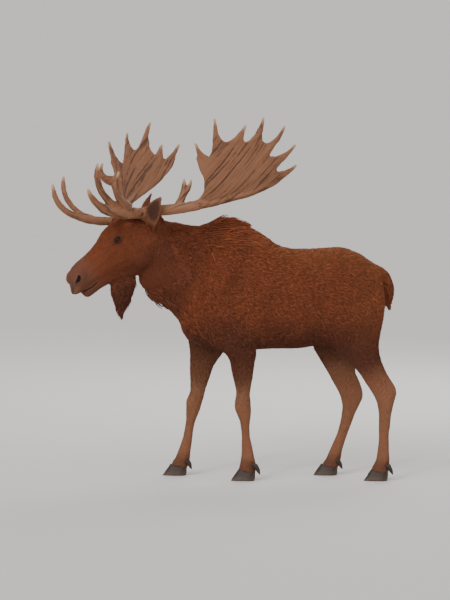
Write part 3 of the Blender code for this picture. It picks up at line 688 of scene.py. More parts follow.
@dataclass(frozen=True)
class HairFinish:
    """Guard hair: coarse keratin, matt with a faint sheen along the strands. Locks are darker at the root,
    and no two are quite alike."""

    root: float = 0.66
    uneven: float = 0.24
    waves: float = 1.6
    strands: float = 6.0  # drawn about 1 mm apart, because real hairs are too fine to show
    streaks: float = 0.8
    darker: float = 0.28

    def material(self) -> bpy.types.Material:
        """Builds the material.

        Returns:
            The material, with its nodes.
        """
        sheen = {"Sheen_Weight": 0.03, "Sheen_Roughness": 0.5}
        finish, tree = new_finish("moose_guard_hair", Roughness=0.68, Specular_IOR_Level=0.16, **sheen)
        axes = carried(tree, "strand", "Vector")
        strand = add_node(tree, "ShaderNodeSeparateXYZ", inputs={0: axes}).outputs
        shade = carried(tree, "shade")
        spread = ((strand[0], self.waves), (strand[1], self.strands), (shade, 40.0))
        inputs = {axis: calculate(tree, "MULTIPLY", *pair) for axis, pair in enumerate(spread)}
        place = add_node(tree, "ShaderNodeCombineXYZ", inputs=inputs).outputs[0]
        fine = grain(tree, place, 1.0, 1.5)
        light = calculate(tree, "MULTIPLY_ADD", strand[0], 1 - self.root, self.root)
        light = calculate(tree, "MULTIPLY_ADD", shade, self.uneven, light)
        light = calculate(tree, "MULTIPLY_ADD", fine, self.streaks, light)
        light = calculate(tree, "SUBTRACT", light, self.darker)
        feed(tree, "Base Color", scaled(tree, carried(tree, "tint", "Color"), light))
        feed_bump(tree, fine, 0.4, 0.0008)
        return finish


@dataclass(frozen=True)
class SkinFinish:
    """Skin under close short hair: matt, combed along the lie of the coat, and moist and nearly black where
    it is bare, at the nostrils and lips."""

    hair_width: float = 0.0016  # coarser than the real 0.1 mm, which is too fine to show
    drawn_out: float = 0.86
    contrast: float = 1.1
    darkest: float = 0.24
    bare: str = "#241915"

    def material(self) -> bpy.types.Material:
        """Builds the material.

        Returns:
            The material, with its nodes.
        """
        finish, tree = new_finish("moose_short_hair_and_skin", Specular_IOR_Level=0.2, Sheen_Weight=0.03)
        place, lie = place_of(tree), carried(tree, "lie", "Vector")
        forward = add_node(tree, "ShaderNodeVectorMath", {"operation": "DOT_PRODUCT"}, {0: place, 1: lie})
        along = scaled(tree, lie, calculate(tree, "MULTIPLY", forward.outputs["Value"], -self.drawn_out))
        hairs = grain(tree, added(tree, place, along), 0.5 / self.hair_width, 2.0)
        light = calculate(tree, "MULTIPLY_ADD", hairs, self.contrast, self.darkest)
        bare = carried(tree, "bare")
        furred = scaled(tree, carried(tree, "tint", "Color"), light)
        feed(tree, "Base Color", blended(tree, bare, furred, self.bare))
        feed(tree, "Roughness", calculate(tree, "MULTIPLY_ADD", bare, -0.38, 0.74))
        feed_bump(tree, hairs, 0.7, 0.0014)
        return finish


@dataclass(frozen=True)
class AntlerFinish:
    """Hard antler: dead bone rubbed bare of velvet, stained brown by bark, a little darker in its gutters and
    polished pale at the tips."""

    stained: str = "#7a4c32"
    gutter: str = "#3f2619"
    ridge: str = "#96694b"
    polished: str = "#bb9c76"

    def material(self) -> bpy.types.Material:
        """Builds the material.

        Returns:
            The material, with its nodes.
        """
        finish, tree = new_finish("weathered_antler_bone", Specular_IOR_Level=0.38)
        place, groove, worn = place_of(tree), carried(tree, "groove"), carried(tree, "worn")
        cloud = calculate(tree, "MULTIPLY", grain(tree, place, 5.0, 4.0), 0.75)
        fine = grain(tree, place, 420.0, 2.0)
        pores = add_node(tree, "ShaderNodeTexVoronoi", inputs={"Vector": place, "Scale": 260.0})
        colour = blended(tree, cloud, self.stained, self.ridge)
        for amount, code in ((-0.80, self.gutter), (0.9, self.ridge)):
            share = add_node(tree, "ShaderNodeClamp", inputs={0: calculate(tree, "MULTIPLY", groove, amount)})
            colour = blended(tree, share.outputs[0], colour, code)
        colour = blended(tree, worn, colour, self.polished)
        colour = blended(tree, calculate(tree, "MULTIPLY", fine, 0.2), colour, self.gutter)
        feed(tree, "Base Color", colour)
        feed(tree, "Roughness", calculate(tree, "MULTIPLY_ADD", worn, -0.24, 0.62))
        feed_bump(tree, calculate(tree, "MULTIPLY_ADD", pores.outputs["Distance"], 0.35, fine), 0.4, 0.0008)
        return finish


@dataclass(frozen=True)
class HoofFinish:
    """Hoof horn: dense keratin grown in rings, nearly black, scuffed grey and paler towards the worn edge."""

    horn: str = "#261b15"
    ring: str = "#392a21"
    scuffed: str = "#5e4b3c"

    def material(self) -> bpy.types.Material:
        """Builds the material.

        Returns:
            The material, with its nodes.
        """
        finish, tree = new_finish("worn_hoof_horn", Specular_IOR_Level=0.3)
        place = place_of(tree)
        scuffs = grain(tree, place, 55.0, 5.0)
        fibres = add_node(tree, "ShaderNodeMapping", inputs={"Vector": place, "Scale": (900.0, 900.0, 60.0)})
        ringed = blended(tree, carried(tree, "ring"), self.horn, self.ring)
        scuff = calculate(tree, "MULTIPLY", carried(tree, "edge"), scuffs)
        worn = blended(tree, calculate(tree, "MULTIPLY", scuff, 1.1), ringed, self.scuffed)
        feed(tree, "Base Color", worn)
        feed(tree, "Roughness", calculate(tree, "MULTIPLY_ADD", scuffs, 0.3, 0.34))
        feed_bump(tree, grain(tree, fibres.outputs[0], 1.0, 2.0), 0.3, 0.0005)
        return finish


@dataclass(frozen=True)
class EyeFinish:
    """A living eye: a wet clear cornea over a dark brown iris with a level slot of a pupil."""

    iris: str = "#1e110a"
    streak: str = "#3d2414"
    rim: str = "#0d0806"
    pupil: str = "#030303"
    slot: tuple = (0.42, 0.19)

    def material(self) -> bpy.types.Material:
        """Builds the material.

        Returns:
            The material, with its nodes.
        """
        finish, tree = new_finish(
            "wet_cornea_over_iris", Roughness=0.05, IOR=1.376, Specular_IOR_Level=0.32
        )
        gaze = add_node(tree, "ShaderNodeSeparateXYZ", inputs={0: carried(tree, "gaze", "Vector")})
        wide, tall = gaze.outputs[0], gaze.outputs[1]
        from_middle = distance(tree, wide, tall)
        turn = calculate(tree, "MULTIPLY", calculate(tree, "ARCTAN2", tall, wide), 9.0)
        spoke = add_node(tree, "ShaderNodeCombineXYZ", inputs={0: turn, 1: from_middle}).outputs[0]
        colour = blended(tree, grain(tree, spoke, 1.6, 2.0, "2D"), self.iris, self.streak)
        colour = blended(tree, smooth_step(tree, from_middle, 0.62, 0.80), colour, self.rim)
        sides = [calculate(tree, "DIVIDE", way, half) for way, half in zip((wide, tall), self.slot)]
        clear = smooth_step(tree, distance(tree, *sides), 0.9, 1.1)
        feed(tree, "Base Color", blended(tree, clear, self.pupil, colour))
        return finish


@dataclass(frozen=True)
class FloorFinish:
    """Matt studio paper, pale grey."""

    paper: str = "#d8d6d4"
    fibre: str = "#ffffff"

    def material(self) -> bpy.types.Material:
        """Builds the material.

        Returns:
            The material, with its nodes.
        """
        finish, tree = new_finish("matt_studio_paper", Roughness=0.95, Specular_IOR_Level=0.1)
        share = calculate(tree, "MULTIPLY", grain(tree, place_of(tree), 1.2, 4.0), 0.06)
        feed(tree, "Base Color", blended(tree, share, self.paper, self.fibre))
        return finish


# ---- the skull --------------------------------------------------------------------------------------------


@dataclass
class Skull:
    """The head's frame, found from the two eyes, and what is sculpted in it."""

    drop: float = math.radians(33)
    eye_forward: float = 0.312
    eye_side: float = 0.103
    eye_height: float = 0.080
    to_model: Matrix = field(init=False)
    eyes: dict[str, Vector] = field(init=False)

    def __post_init__(self) -> None:
        """Works the frame out from the eyes' places."""
        self.eyes = {side: sum(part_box(f"{side}_eye"), Vector()) / 2 for side, _ in SIDES}
        across = self.eyes["right"] - self.eyes["left"]
        turn = Matrix.Rotation(math.atan2(-across.x, across.y), 4, "Z") @ Matrix.Rotation(-self.drop, 4, "Y")
        middle = (self.eyes["right"] + self.eyes["left"]) / 2
        poll = middle - turn.to_3x3() @ Vector((-self.eye_forward, 0, self.eye_height))
        self.to_model = Matrix.Translation(poll) @ turn

    def heading(self, direction: Sequence[float]) -> np.ndarray:
        """A direction in the skull's frame, in the model."""
        return np.array(self.to_model.to_3x3() @ Vector(direction))

    def placed(self, spot: Sequence[float]) -> np.ndarray:
        """A spot of the skull's frame in the model."""
        return np.array(self.to_model @ Vector(spot))

    def local(self, points: np.ndarray) -> np.ndarray:
        """Points of the model in the skull's frame."""
        inverse = np.array(self.to_model.inverted())
        return points @ inverse[:3, :3].T + inverse[:3, 3]

    def eye_axes(self, side: str) -> tuple[np.ndarray, np.ndarray, np.ndarray]:
        """Works out an eye's axes.

        Args:
            side: The eye's side, "left" or "right".

        Returns:
            The ways towards the nose, up, and out of the head.
        """
        sign = dict(SIDES)[side]
        out = self.heading(Vector((-0.24, sign * 0.95, 0.12)).normalized())
        nose = self.heading((-0.97, 0.0, -0.24))
        nose = nose - out * nose.dot(out)
        nose /= np.linalg.norm(nose)
        up = np.cross(out, nose)
        return nose, up if up[2] > 0 else -up, out


# ---- skin -------------------------------------------------------------------------------------------------


@dataclass(frozen=True)
class Relief:
    """How far the parts of the face are raised or, below zero, pressed in."""

    nostril: float = -0.017
    nostril_rim: float = 0.0045
    mouth: float = -0.0085
    upper_lip: float = 0.0028
    lower_lip: float = 0.0022
    brow: float = 0.005
    crest: float = 0.005
    tear_pit: float = -0.0045
    temple: float = -0.004
    jaw: float = -0.004
    lip_cleft: float = -0.003
    wrinkles: float = 0.0006
    crest_line: tuple = ((0.33, 0.030), (0.45, 0.008), (0.58, 0.002))  # from the poll, with its height
    jaw_line: tuple = ((0.12, -0.120), (0.30, -0.100), (0.45, -0.090))


@dataclass(frozen=True)
class Markings:
    """A bull's autumn colours, with painted shade deep in the ears' hollows, which the skin and the coat
    share.
    """

    body: str = "#86472b"
    dark: str = "#552e20"
    saddle: str = "#8f5433"
    leg: str = "#8a5d42"
    fetlock: str = "#613a28"
    muzzle: str = "#6d4736"
    eye_ring: str = "#5a3426"
    ear_lining: str = "#94694b"
    # painted shade: a dark brown laid deep in each ear's lining, standing for the shadow in its hollow
    ear_hollow: str = "#4a2c20"
    saddle_start: tuple = (0.1, 0.4)  # the saddle comes in along the back between these x
    rump_start: tuple = (0.80, 1.12)
    flank_end: tuple = (1.28, 1.00)  # the flanks darken from the first height down to the second
    leg_start: tuple = (0.92, 0.62)
    fetlock_start: tuple = (0.20, 0.10)
    muzzle_start: tuple = (0.50, 0.66)  # down the face, from the poll

    def colours(self, skin: Skin) -> np.ndarray:
        """The coat's colour at each vertex of the skin.

        Args:
            skin: The skin, with its points, normals and shares worked out.

        Returns:
            A linear colour for each vertex.
        """
        points, normals, local = skin.points, skin.normals, skin.local
        height = points[:, 2]
        trunk = skin.share(Region.TRUNK) + skin.share(Region.UPPER_LEG)
        uneven = 0.12 * noise(points, 0.16, 3)
        colour = np.tile(linear(self.body), (len(points), 1))

        def lay(share: np.ndarray, code: str) -> None:
            """Lays that share of a colour over what is there."""
            nonlocal colour
            amount = np.clip(share, 0, 1)[:, None]
            colour = colour * (1 - amount) + np.array(linear(code)) * amount

        on_back = trunk * ramp(normals[:, 2] + uneven, 0.25, 0.9) * ramp(points[:, 0], *self.saddle_start)
        lay(on_back * 0.75, self.saddle)
        lay(trunk * ramp(points[:, 0], *self.rump_start) * 0.45, self.saddle)
        lay(trunk * ramp(height + uneven * 0.5, *self.flank_end) * 0.75, self.dark)
        lay(skin.share(Region.NECK) * (0.30 + 0.45 * ramp(normals[:, 2], 0.1, -0.7)), self.dark)
        lay(skin.share(Region.BELL) * 0.80, self.dark)
        lay(skin.share(Region.TAIL) * 0.35, self.dark)
        legs = skin.share(Region.UPPER_LEG) + skin.share(Region.LOWER_LEG)
        lay(legs * ramp(height + uneven * 0.6, *self.leg_start) * 0.85, self.leg)
        lay(legs * ramp(height, *self.fetlock_start) * 0.8, self.fetlock)
        inward = -normals[:, 1] * np.sign(points[:, 1] - skin.midline)
        lay(skin.share(Region.UPPER_LEG) * ramp(inward, 0.2, 0.9) * 0.4, self.leg)
        head = skin.share(Region.HEAD)
        lay(head * ramp(-local[:, 0], *self.muzzle_start) * 0.75, self.muzzle)
        lay(head * ramp(local[:, 2], -0.05, -0.16) * 0.45, self.dark)
        eye = (-skin.skull.eye_forward, 0, skin.skull.eye_height)
        ring = np.linalg.norm((local - eye) * (1, 0, 1), axis=1)
        lay(head * bump(ring, 0.0, 0.055) * ramp(np.abs(local[:, 1]), 0.05, 0.09), self.eye_ring)
        lay(skin.share(Region.EAR) * 0.35 + bump(skin.share(Region.EAR), 0.5, 0.5) * 0.35, self.dark)
        lay(skin.lining, self.ear_lining)
        # painted shade: darkens the middle of each ear's open side, where its hollow would lie in shadow
        lay(ramp(skin.web.spread(skin.lining, 40), 0.50, 0.85) * 0.9, self.ear_hollow)
        return colour


@dataclass
class Skin:
    """The body in one closed skin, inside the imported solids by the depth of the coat."""

    skull: Skull
    voxel: float = 0.0152
    closer: float = 2.3  # how many times finer the skin is around the head
    near: float = 0.49
    head_middle: tuple = (-0.38, 0, -0.03)
    swell: float = 0.0016
    nostril: tuple = (-0.716, 0.084, 0.006)
    nostril_half: tuple = (0.030, 0.0135)
    socket_half: tuple = (0.0185, 0.0125)
    socket_depth: float = 0.004  # how far the skin lies behind the eyeball's surface
    nostril_slant: float = math.radians(-38)
    nostril_side: float = 0.062  # the nostrils don't reach farther in than this
    mouth: tuple = ((0.770, -0.094), (0.735, -0.103), (0.690, -0.110), (0.635, -0.117), (0.590, -0.112))
    mesh: bpy.types.Mesh = field(init=False)
    labels: np.ndarray = field(init=False)
    shares: np.ndarray = field(init=False)

    def __post_init__(self) -> None:
        """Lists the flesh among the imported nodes."""
        self.nodes = sorted(n for n in FRAME["nodes"] if region_of(n))
        self.ears = [i for i, n in enumerate(self.nodes) if n in EARS]
        self.centre = self.skull.placed(self.head_middle)
        low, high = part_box("trunk")
        self.midline = (low.y + high.y) / 2

    def widened(self, points: np.ndarray, back: bool = False) -> np.ndarray:
        """Stretches space around the head, so that even quads come out finer there.

        Args:
            points: The places to move.
            back: Whether to undo the stretch instead.

        Returns:
            The moved places.
        """
        offset = points - self.centre
        far = np.linalg.norm(offset, axis=1, keepdims=True)
        extra = (self.closer - 1) * self.near
        if back:
            new = np.where(far < self.closer * self.near, far / self.closer, far - extra)
        else:
            new = np.where(far < self.near, far * self.closer, far + extra)
        return self.centre + offset * new / np.maximum(far, 1e-9)

    def share(self, region: Region) -> np.ndarray:
        """How much each vertex belongs to the region, from 0 to 1."""
        return self.shares[:, region.value]

    def mixed(self, key: str) -> np.ndarray:
        """One of the regions' hair sizes, blended over the skin."""
        return self.shares @ np.array([getattr(HAIR[r], key) for r in Region], float)

    def read(self, blur: int) -> None:
        """Works out the vertices, normals and regions as the mesh now stands.

        Args:
            blur: How many passes soften the borders between the regions.
        """
        self.points, self.normals = points_of(self.mesh), normals_of(self.mesh)
        self.local = self.skull.local(self.points)
        corners, faces, owners = [], [], []
        for number, name in enumerate(self.nodes):
            data = FRAME["nodes"][name].data
            base = len(corners)
            corners += [v.co[:] for v in data.vertices]
            faces += [[base + v for v in p.vertices] for p in data.polygons]
            owners += [number] * len(data.polygons)
        tree = BVHTree.FromPolygons(corners, faces)
        nearest = [tree.find_nearest(p)[2] for p in self.points.tolist()]
        self.labels = np.array(owners)[np.array(nearest)]
        regions = np.array([region_of(n).value for n in self.nodes])[self.labels]
        self.web = Web(self.mesh)
        self.shares = self.web.spread(np.eye(len(Region))[regions], blur)

    def coat_depth(self) -> np.ndarray:
        """How far the skin lies under the coat's outside, which is nothing where hooves grow.

        Returns:
            The depth at each vertex.
        """
        depth = self.mixed("depth") * ramp(self.points[:, 2], 0.05, 0.13)
        muzzle = ramp(-self.local[:, 0], 0.52, 0.66) * self.share(Region.HEAD)
        return depth * (1 - 0.6 * muzzle)

    def build(self) -> None:
        """Makes the skin, sculpts the face and works out what the coat needs to know."""
        solids = joined("solids", [swollen(n, self.swell) for n in self.nodes])
        set_points(solids, self.widened(points_of(solids)))
        self.mesh = remeshed(solids, self.voxel)
        set_points(self.mesh, self.widened(points_of(self.mesh), back=True))
        self.read(blur=14)
        passes = self.web.spread(self.mixed("passes"), 6)
        set_points(self.mesh, self.web.relaxed(self.points, passes))
        self.points, self.normals = points_of(self.mesh), normals_of(self.mesh)
        sunk = self.points - self.normals * (self.swell + self.coat_depth())[:, None]
        coronet = ramp(self.points[:, 2], 0.105, 0.085) * self.share(Region.LOWER_LEG)
        sunk[:, 2] -= 0.010 * coronet
        set_points(self.mesh, self.web.relaxed(sunk, np.full(len(sunk), 3.0)))
        for _ in range(2):
            self.refine()
        self.read(blur=22)
        self.sculpt()
        self.points, self.normals = points_of(self.mesh), normals_of(self.mesh)
        self.local = self.skull.local(self.points)
        self.lining = self.ear_lining()
        self.tint = Markings().colours(self)
        self.lie = self.comb()
        keep(self.mesh, "tint", self.tint)
        keep(self.mesh, "lie", self.lie)
        self.bareness = self.bare()
        keep(self.mesh, "bare", self.bareness)
        self.surface = surface_of(self.mesh)

    def mouth_gap(self, local: np.ndarray) -> np.ndarray:
        """How far places beside the face are above the mouth line, or from its corner if they are past it.

        Args:
            local: The places, in the skull's frame.

        Returns:
            The gap at each place, negative below the line.
        """
        forward = -local[:, 0]
        spots = np.array(self.mouth)[::-1]
        line = np.interp(forward, spots[:, 0], spots[:, 1])
        beyond = np.maximum(0, spots[0, 0] - forward)
        return np.sign(local[:, 2] - line) * np.hypot(local[:, 2] - line, beyond)

    def nostril_place(self, local: np.ndarray) -> tuple[np.ndarray, np.ndarray, np.ndarray]:
        """Finds places beside a nostril, whose slit is bent.

        Args:
            local: The places, in the skull's frame.

        Returns:
            How far along its slant, across it and from its middle each of them is.
        """
        offset = local - self.nostril * np.array((1, 0, 1))
        cosine, sine = math.cos(self.nostril_slant), math.sin(self.nostril_slant)
        along = offset[:, 0] * cosine - offset[:, 2] * sine
        across = offset[:, 0] * sine + offset[:, 2] * cosine
        across = across - 5.0 * along**2
        away = np.hypot(along, across) + np.maximum(0, 0.045 - np.abs(local[:, 1])) * 3
        return along, across, away

    def nostril_oval(self, local: np.ndarray) -> np.ndarray:
        """How far places beside a nostril are from its middle, where 1 is its rim.

        Args:
            local: The places, in the skull's frame.

        Returns:
            The distance of each, as a multiple of the rim's.
        """
        along, across, _ = self.nostril_place(local)
        inwards = np.maximum(0, self.nostril_side - np.abs(local[:, 1]))
        return np.hypot(along / self.nostril_half[0], across / self.nostril_half[1]) + inwards * 60

    def refine(self) -> None:
        """Halves the skin's edges where the mouth and nostrils need it."""
        local = self.skull.local(points_of(self.mesh))
        side = np.abs(local[:, 1])
        mouth = np.abs(self.mouth_gap(local)) / 0.016
        nostril = self.nostril_place(local)[2] / 0.050
        skull = self.skull
        spot = (-skull.eye_forward, skull.eye_side, skull.eye_height)
        eye = np.linalg.norm(np.column_stack([local[:, 0], side, local[:, 2]]) - spot, axis=1) / 0.060
        wanted = 0.0026 + 0.010 * np.clip(np.minimum(np.minimum(mouth, nostril), eye) - 0.8, 0, 1)
        bm = opened(self.mesh)
        close = set(np.flatnonzero(wanted < 0.0120).tolist())
        long_edges = []
        for edge in bm.edges:
            a, b = edge.verts
            if a.index in close and b.index in close:
                if edge.calc_length() > 1.35 * max(wanted[a.index], wanted[b.index]):
                    long_edges.append(edge)
        bmesh.ops.subdivide_edges(bm, edges=long_edges, cuts=1, use_grid_fill=True)
        bmesh.ops.triangulate(bm, faces=[f for f in bm.faces if len(f.verts) > 4])
        closed(bm, self.mesh)

    def sculpt(self) -> None:
        """Presses in the nostrils and mouth, raises brows, cheeks, lips and the crest of the face, and makes
        room for the eyes."""
        local, face = self.local, Relief()
        forward, side, height = -local[:, 0], np.abs(local[:, 1]), local[:, 2]
        move = np.zeros(len(local))
        nostril = self.nostril_oval(local)
        move += face.nostril * ramp(nostril, 1.02, 0.45)
        move += face.nostril_rim * bump(nostril, 1.35, 0.55)
        gap = self.mouth_gap(local)
        move += face.mouth * bump(gap, 0.0, 0.0058) * ramp(side, 0.004, 0.020)
        move += face.upper_lip * bump(gap, 0.011, 0.011) + face.lower_lip * bump(gap, -0.010, 0.010)
        brow = bump(forward, 0.300, 0.050) * bump(height, 0.124, 0.026)
        move += face.brow * brow * ramp(side, 0.055, 0.09)
        crest = bump(height, np.interp(forward, *zip(*face.crest_line)), 0.026)
        move += face.crest * crest * ramp(forward, 0.33, 0.38) * ramp(forward, 0.60, 0.52)
        tear = np.hypot((forward - 0.352) / 0.020, (height - 0.062) / 0.007)
        move += face.tear_pit * ramp(tear, 1.2, 0.3) * ramp(side, 0.05, 0.07)
        temple = np.hypot((forward - 0.245) / 0.040, (height - 0.118) / 0.022)
        move += face.temple * ramp(temple, 1.2, 0.2) * ramp(side, 0.05, 0.08)
        jaw = bump(height, np.interp(forward, *zip(*face.jaw_line)), 0.030)
        move += face.jaw * jaw * bump(forward, 0.36, 0.14)
        lip_cleft = bump(side, 0.0, 0.010) * ramp(forward, 0.735, 0.755)
        move += face.lip_cleft * lip_cleft * ramp(height, -0.09, -0.06)
        wrinkle = np.sin(forward * 520 + height * 90) * bump(forward, 0.655, 0.030)
        move += face.wrinkles * (wrinkle * ramp(height, 0.05, -0.02))
        move = (move * self.share(Region.HEAD))[:, None]
        set_points(self.mesh, self.socketed(self.points + self.normals * move))

    def socketed(self, points: np.ndarray) -> np.ndarray:
        """The vertices pressed in behind each eyeball, and notes where it leaves no room for hair.

        Args:
            points: The skin's vertices.

        Returns:
            The moved vertices.
        """
        self.eye_room = np.zeros(len(points))
        for side, sign in SIDES:
            nose, up, outward = self.skull.eye_axes(side)
            offset = points - np.array(self.skull.eyes[side])
            x, y, z = offset @ nose, offset @ up, offset @ outward
            oval = np.hypot(x / self.socket_half[0], y / self.socket_half[1])
            ball = np.sqrt(np.maximum(EYE_RADIUS**2 - x**2 - y**2, 0.0))
            room = np.where(oval < 1.5, ball - self.socket_depth, z)
            target = np.minimum(z - self.socket_depth * ramp(oval, 2.2, 1.4), room)
            touched = (oval < 2.3) & (z > -0.02) & (self.local[:, 1] * sign > 0)
            self.eye_room += touched * ramp(oval, 1.95, 1.75)
            points = points + np.where(touched, target - z, 0.0)[:, None] * outward
        return points

    def ear_lining(self) -> np.ndarray:
        """How much each vertex is on the open side of an ear.

        Returns:
            A share from 0 to 1 for each vertex.
        """
        lining = np.zeros(len(self.points))
        turned = Matrix.Rotation(math.atan2(*self.skull.to_model.to_3x3().col[1].xy) * -1, 3, "Z")
        for ear, facing in zip(EARS, ((-0.75, -0.8, 0.1), (-0.8, 0.8, 0.0))):
            opening = np.array((turned @ Vector(facing)).normalized())
            own = (self.labels == self.nodes.index(ear)) * ramp(self.share(Region.EAR), 0.60, 1.0)
            from_root = np.linalg.norm(self.points - self.ear_root(ear), axis=1)
            lining += own * ramp(self.normals @ opening, 0.25, 0.85) * ramp(from_root, 0.045, 0.125)
        return lining

    def ear_root(self, name: str) -> np.ndarray:
        """Where that ear grows out of the head."""
        sign = dict(SIDES)[name.split("_")[0]]
        return self.skull.placed((-0.030, 0.105 * sign, -0.025))

    def bare(self) -> np.ndarray:
        """How much each vertex is hairless skin: inside the nostrils, between the lips and under the nose.

        Returns:
            A share from 0 to 1 for each vertex.
        """
        local = self.local
        forward, side, height = -local[:, 0], np.abs(local[:, 1]), local[:, 2]
        nostril = ramp(self.nostril_oval(local), 1.35, 0.95)
        lips = bump(self.mouth_gap(local), 0.0, 0.007)
        wide = 0.010 + 0.16 * np.maximum(height + 0.085, 0)
        patch = 0.8 * ramp(side / wide, 1.5, 0.8) * ramp(forward, 0.725, 0.745)
        patch = patch * ramp(height, -0.100, -0.085) * ramp(height, 0.015, -0.005)
        return np.clip(np.maximum(np.maximum(nostril, lips), patch) * self.share(Region.HEAD), 0, 1)

    def comb(self) -> np.ndarray:
        """Lays the coat along the body.

        Returns:
            Which way the hair points at each vertex, along the skin.
        """
        points, normals, local = self.points, self.normals, self.local
        turn = np.array(self.skull.to_model.to_3x3())
        back = np.column_stack(
            [np.ones(len(points)), 0.25 * np.sign(local[:, 1]), -0.1 - 0.5 * ramp(local[:, 2], 0.05, -0.14)]
        ) @ turn.T
        top, under = ramp(normals[:, 2], 0.2, 0.8), ramp(normals[:, 2], -0.3, -0.9)
        front, rear = ramp(normals[:, 0], -0.3, -0.9), ramp(normals[:, 0], 0.3, 0.9)
        level, down = np.ones(len(points)), np.zeros(len(points))
        neck = np.column_stack([0.75 + 0.25 * top, down, -0.75 + 0.45 * top - 0.5 * under])
        fall = -0.55 * (1 - top) * (1 - under) - 1.6 * front - 1.3 * rear
        trunk = np.column_stack([level - 0.9 * np.maximum(front, rear), down, fall])
        ears = np.zeros((len(points), 3))
        for ear in EARS:
            own = self.labels == self.nodes.index(ear)
            ears[own] = unit(points[own] - self.ear_root(ear))
        backward = (0.06, 0.25, 0.18, 0.04)
        bell, tail, upper, lower = (np.tile((x, 0.0, -1.0), (len(points), 1)) for x in backward)
        fields = [back, neck, trunk, bell, tail, ears, upper, lower]
        hanging = np.isin(range(len(Region)), (Region.BELL.value, Region.TAIL.value))
        sway = self.shares * np.where(hanging, 6.0, 1.0)
        lie = sum(sway[:, i : i + 1] * f for i, f in enumerate(fields))
        return along_surface(self.web.spread(along_surface(lie, normals), 6), normals)


# ---- coat -------------------------------------------------------------------------------------------------


@dataclass
class Roots:
    """Where locks of hair grow, each with the way that it points and its sizes."""

    place: np.ndarray
    up: np.ndarray
    lie: np.ndarray
    size: np.ndarray
    tint: np.ndarray
    shade: np.ndarray
    label: np.ndarray

    def chosen(self, which: np.ndarray) -> Roots:
        """Only those roots."""
        return Roots(*[getattr(self, f)[which] for f in self.__dataclass_fields__])


@dataclass(frozen=True)
class Lock:
    """A closed lock of hair along X, pointed at both ends.

    Its stations are (along, rise, half width, thickness), its root lies under the skin, and its tip sways.
    """

    name: str
    stations: tuple
    sway: float
    tip_rise: float = 1.0
    root: tuple = (-0.04, 0.0, -0.3)

    def add(self, collection: bpy.types.Collection) -> None:
        """Builds the lock.

        Args:
            collection: The collection it goes into.
        """
        points, strand, faces = [self.root], [(0.0, 0.3, 0.0)], []
        for along, rise, half, thick in self.stations:
            drift = self.sway * along * along
            points += [(along, drift - half, rise), (along, drift + half, rise), (along, drift, rise + thick)]
            strand += [(along, i / 3, 0) for i in range(3)]
        points.append((1.0, self.sway, self.tip_rise))
        strand.append((1.0, 0.5, 0))
        tip = len(points) - 1
        sides = ((0, 1), (1, 2), (2, 0))
        faces += [(0, 1 + b, 1 + a) for a, b in sides]
        for ring in range(len(self.stations) - 1):
            first = 1 + ring * 3
            faces += [(first + a, first + b, first + b + 3, first + a + 3) for a, b in sides]
        last = tip - 3
        faces += [(last + a, last + b, tip) for a, b in sides]
        mesh = polygon_mesh(self.name, points, faces)
        keep(mesh, "strand", np.array(strand))
        collection.objects.link(bpy.data.objects.new(self.name, mesh))


SHORT_STATIONS = ((0.40, 0.66, 0.50, 0.22),)
LONG_STATIONS = ((0.16, 0.30, 0.40, 0.20), (0.50, 0.84, 0.50, 0.18), (0.80, 1.0, 0.30, 0.12))


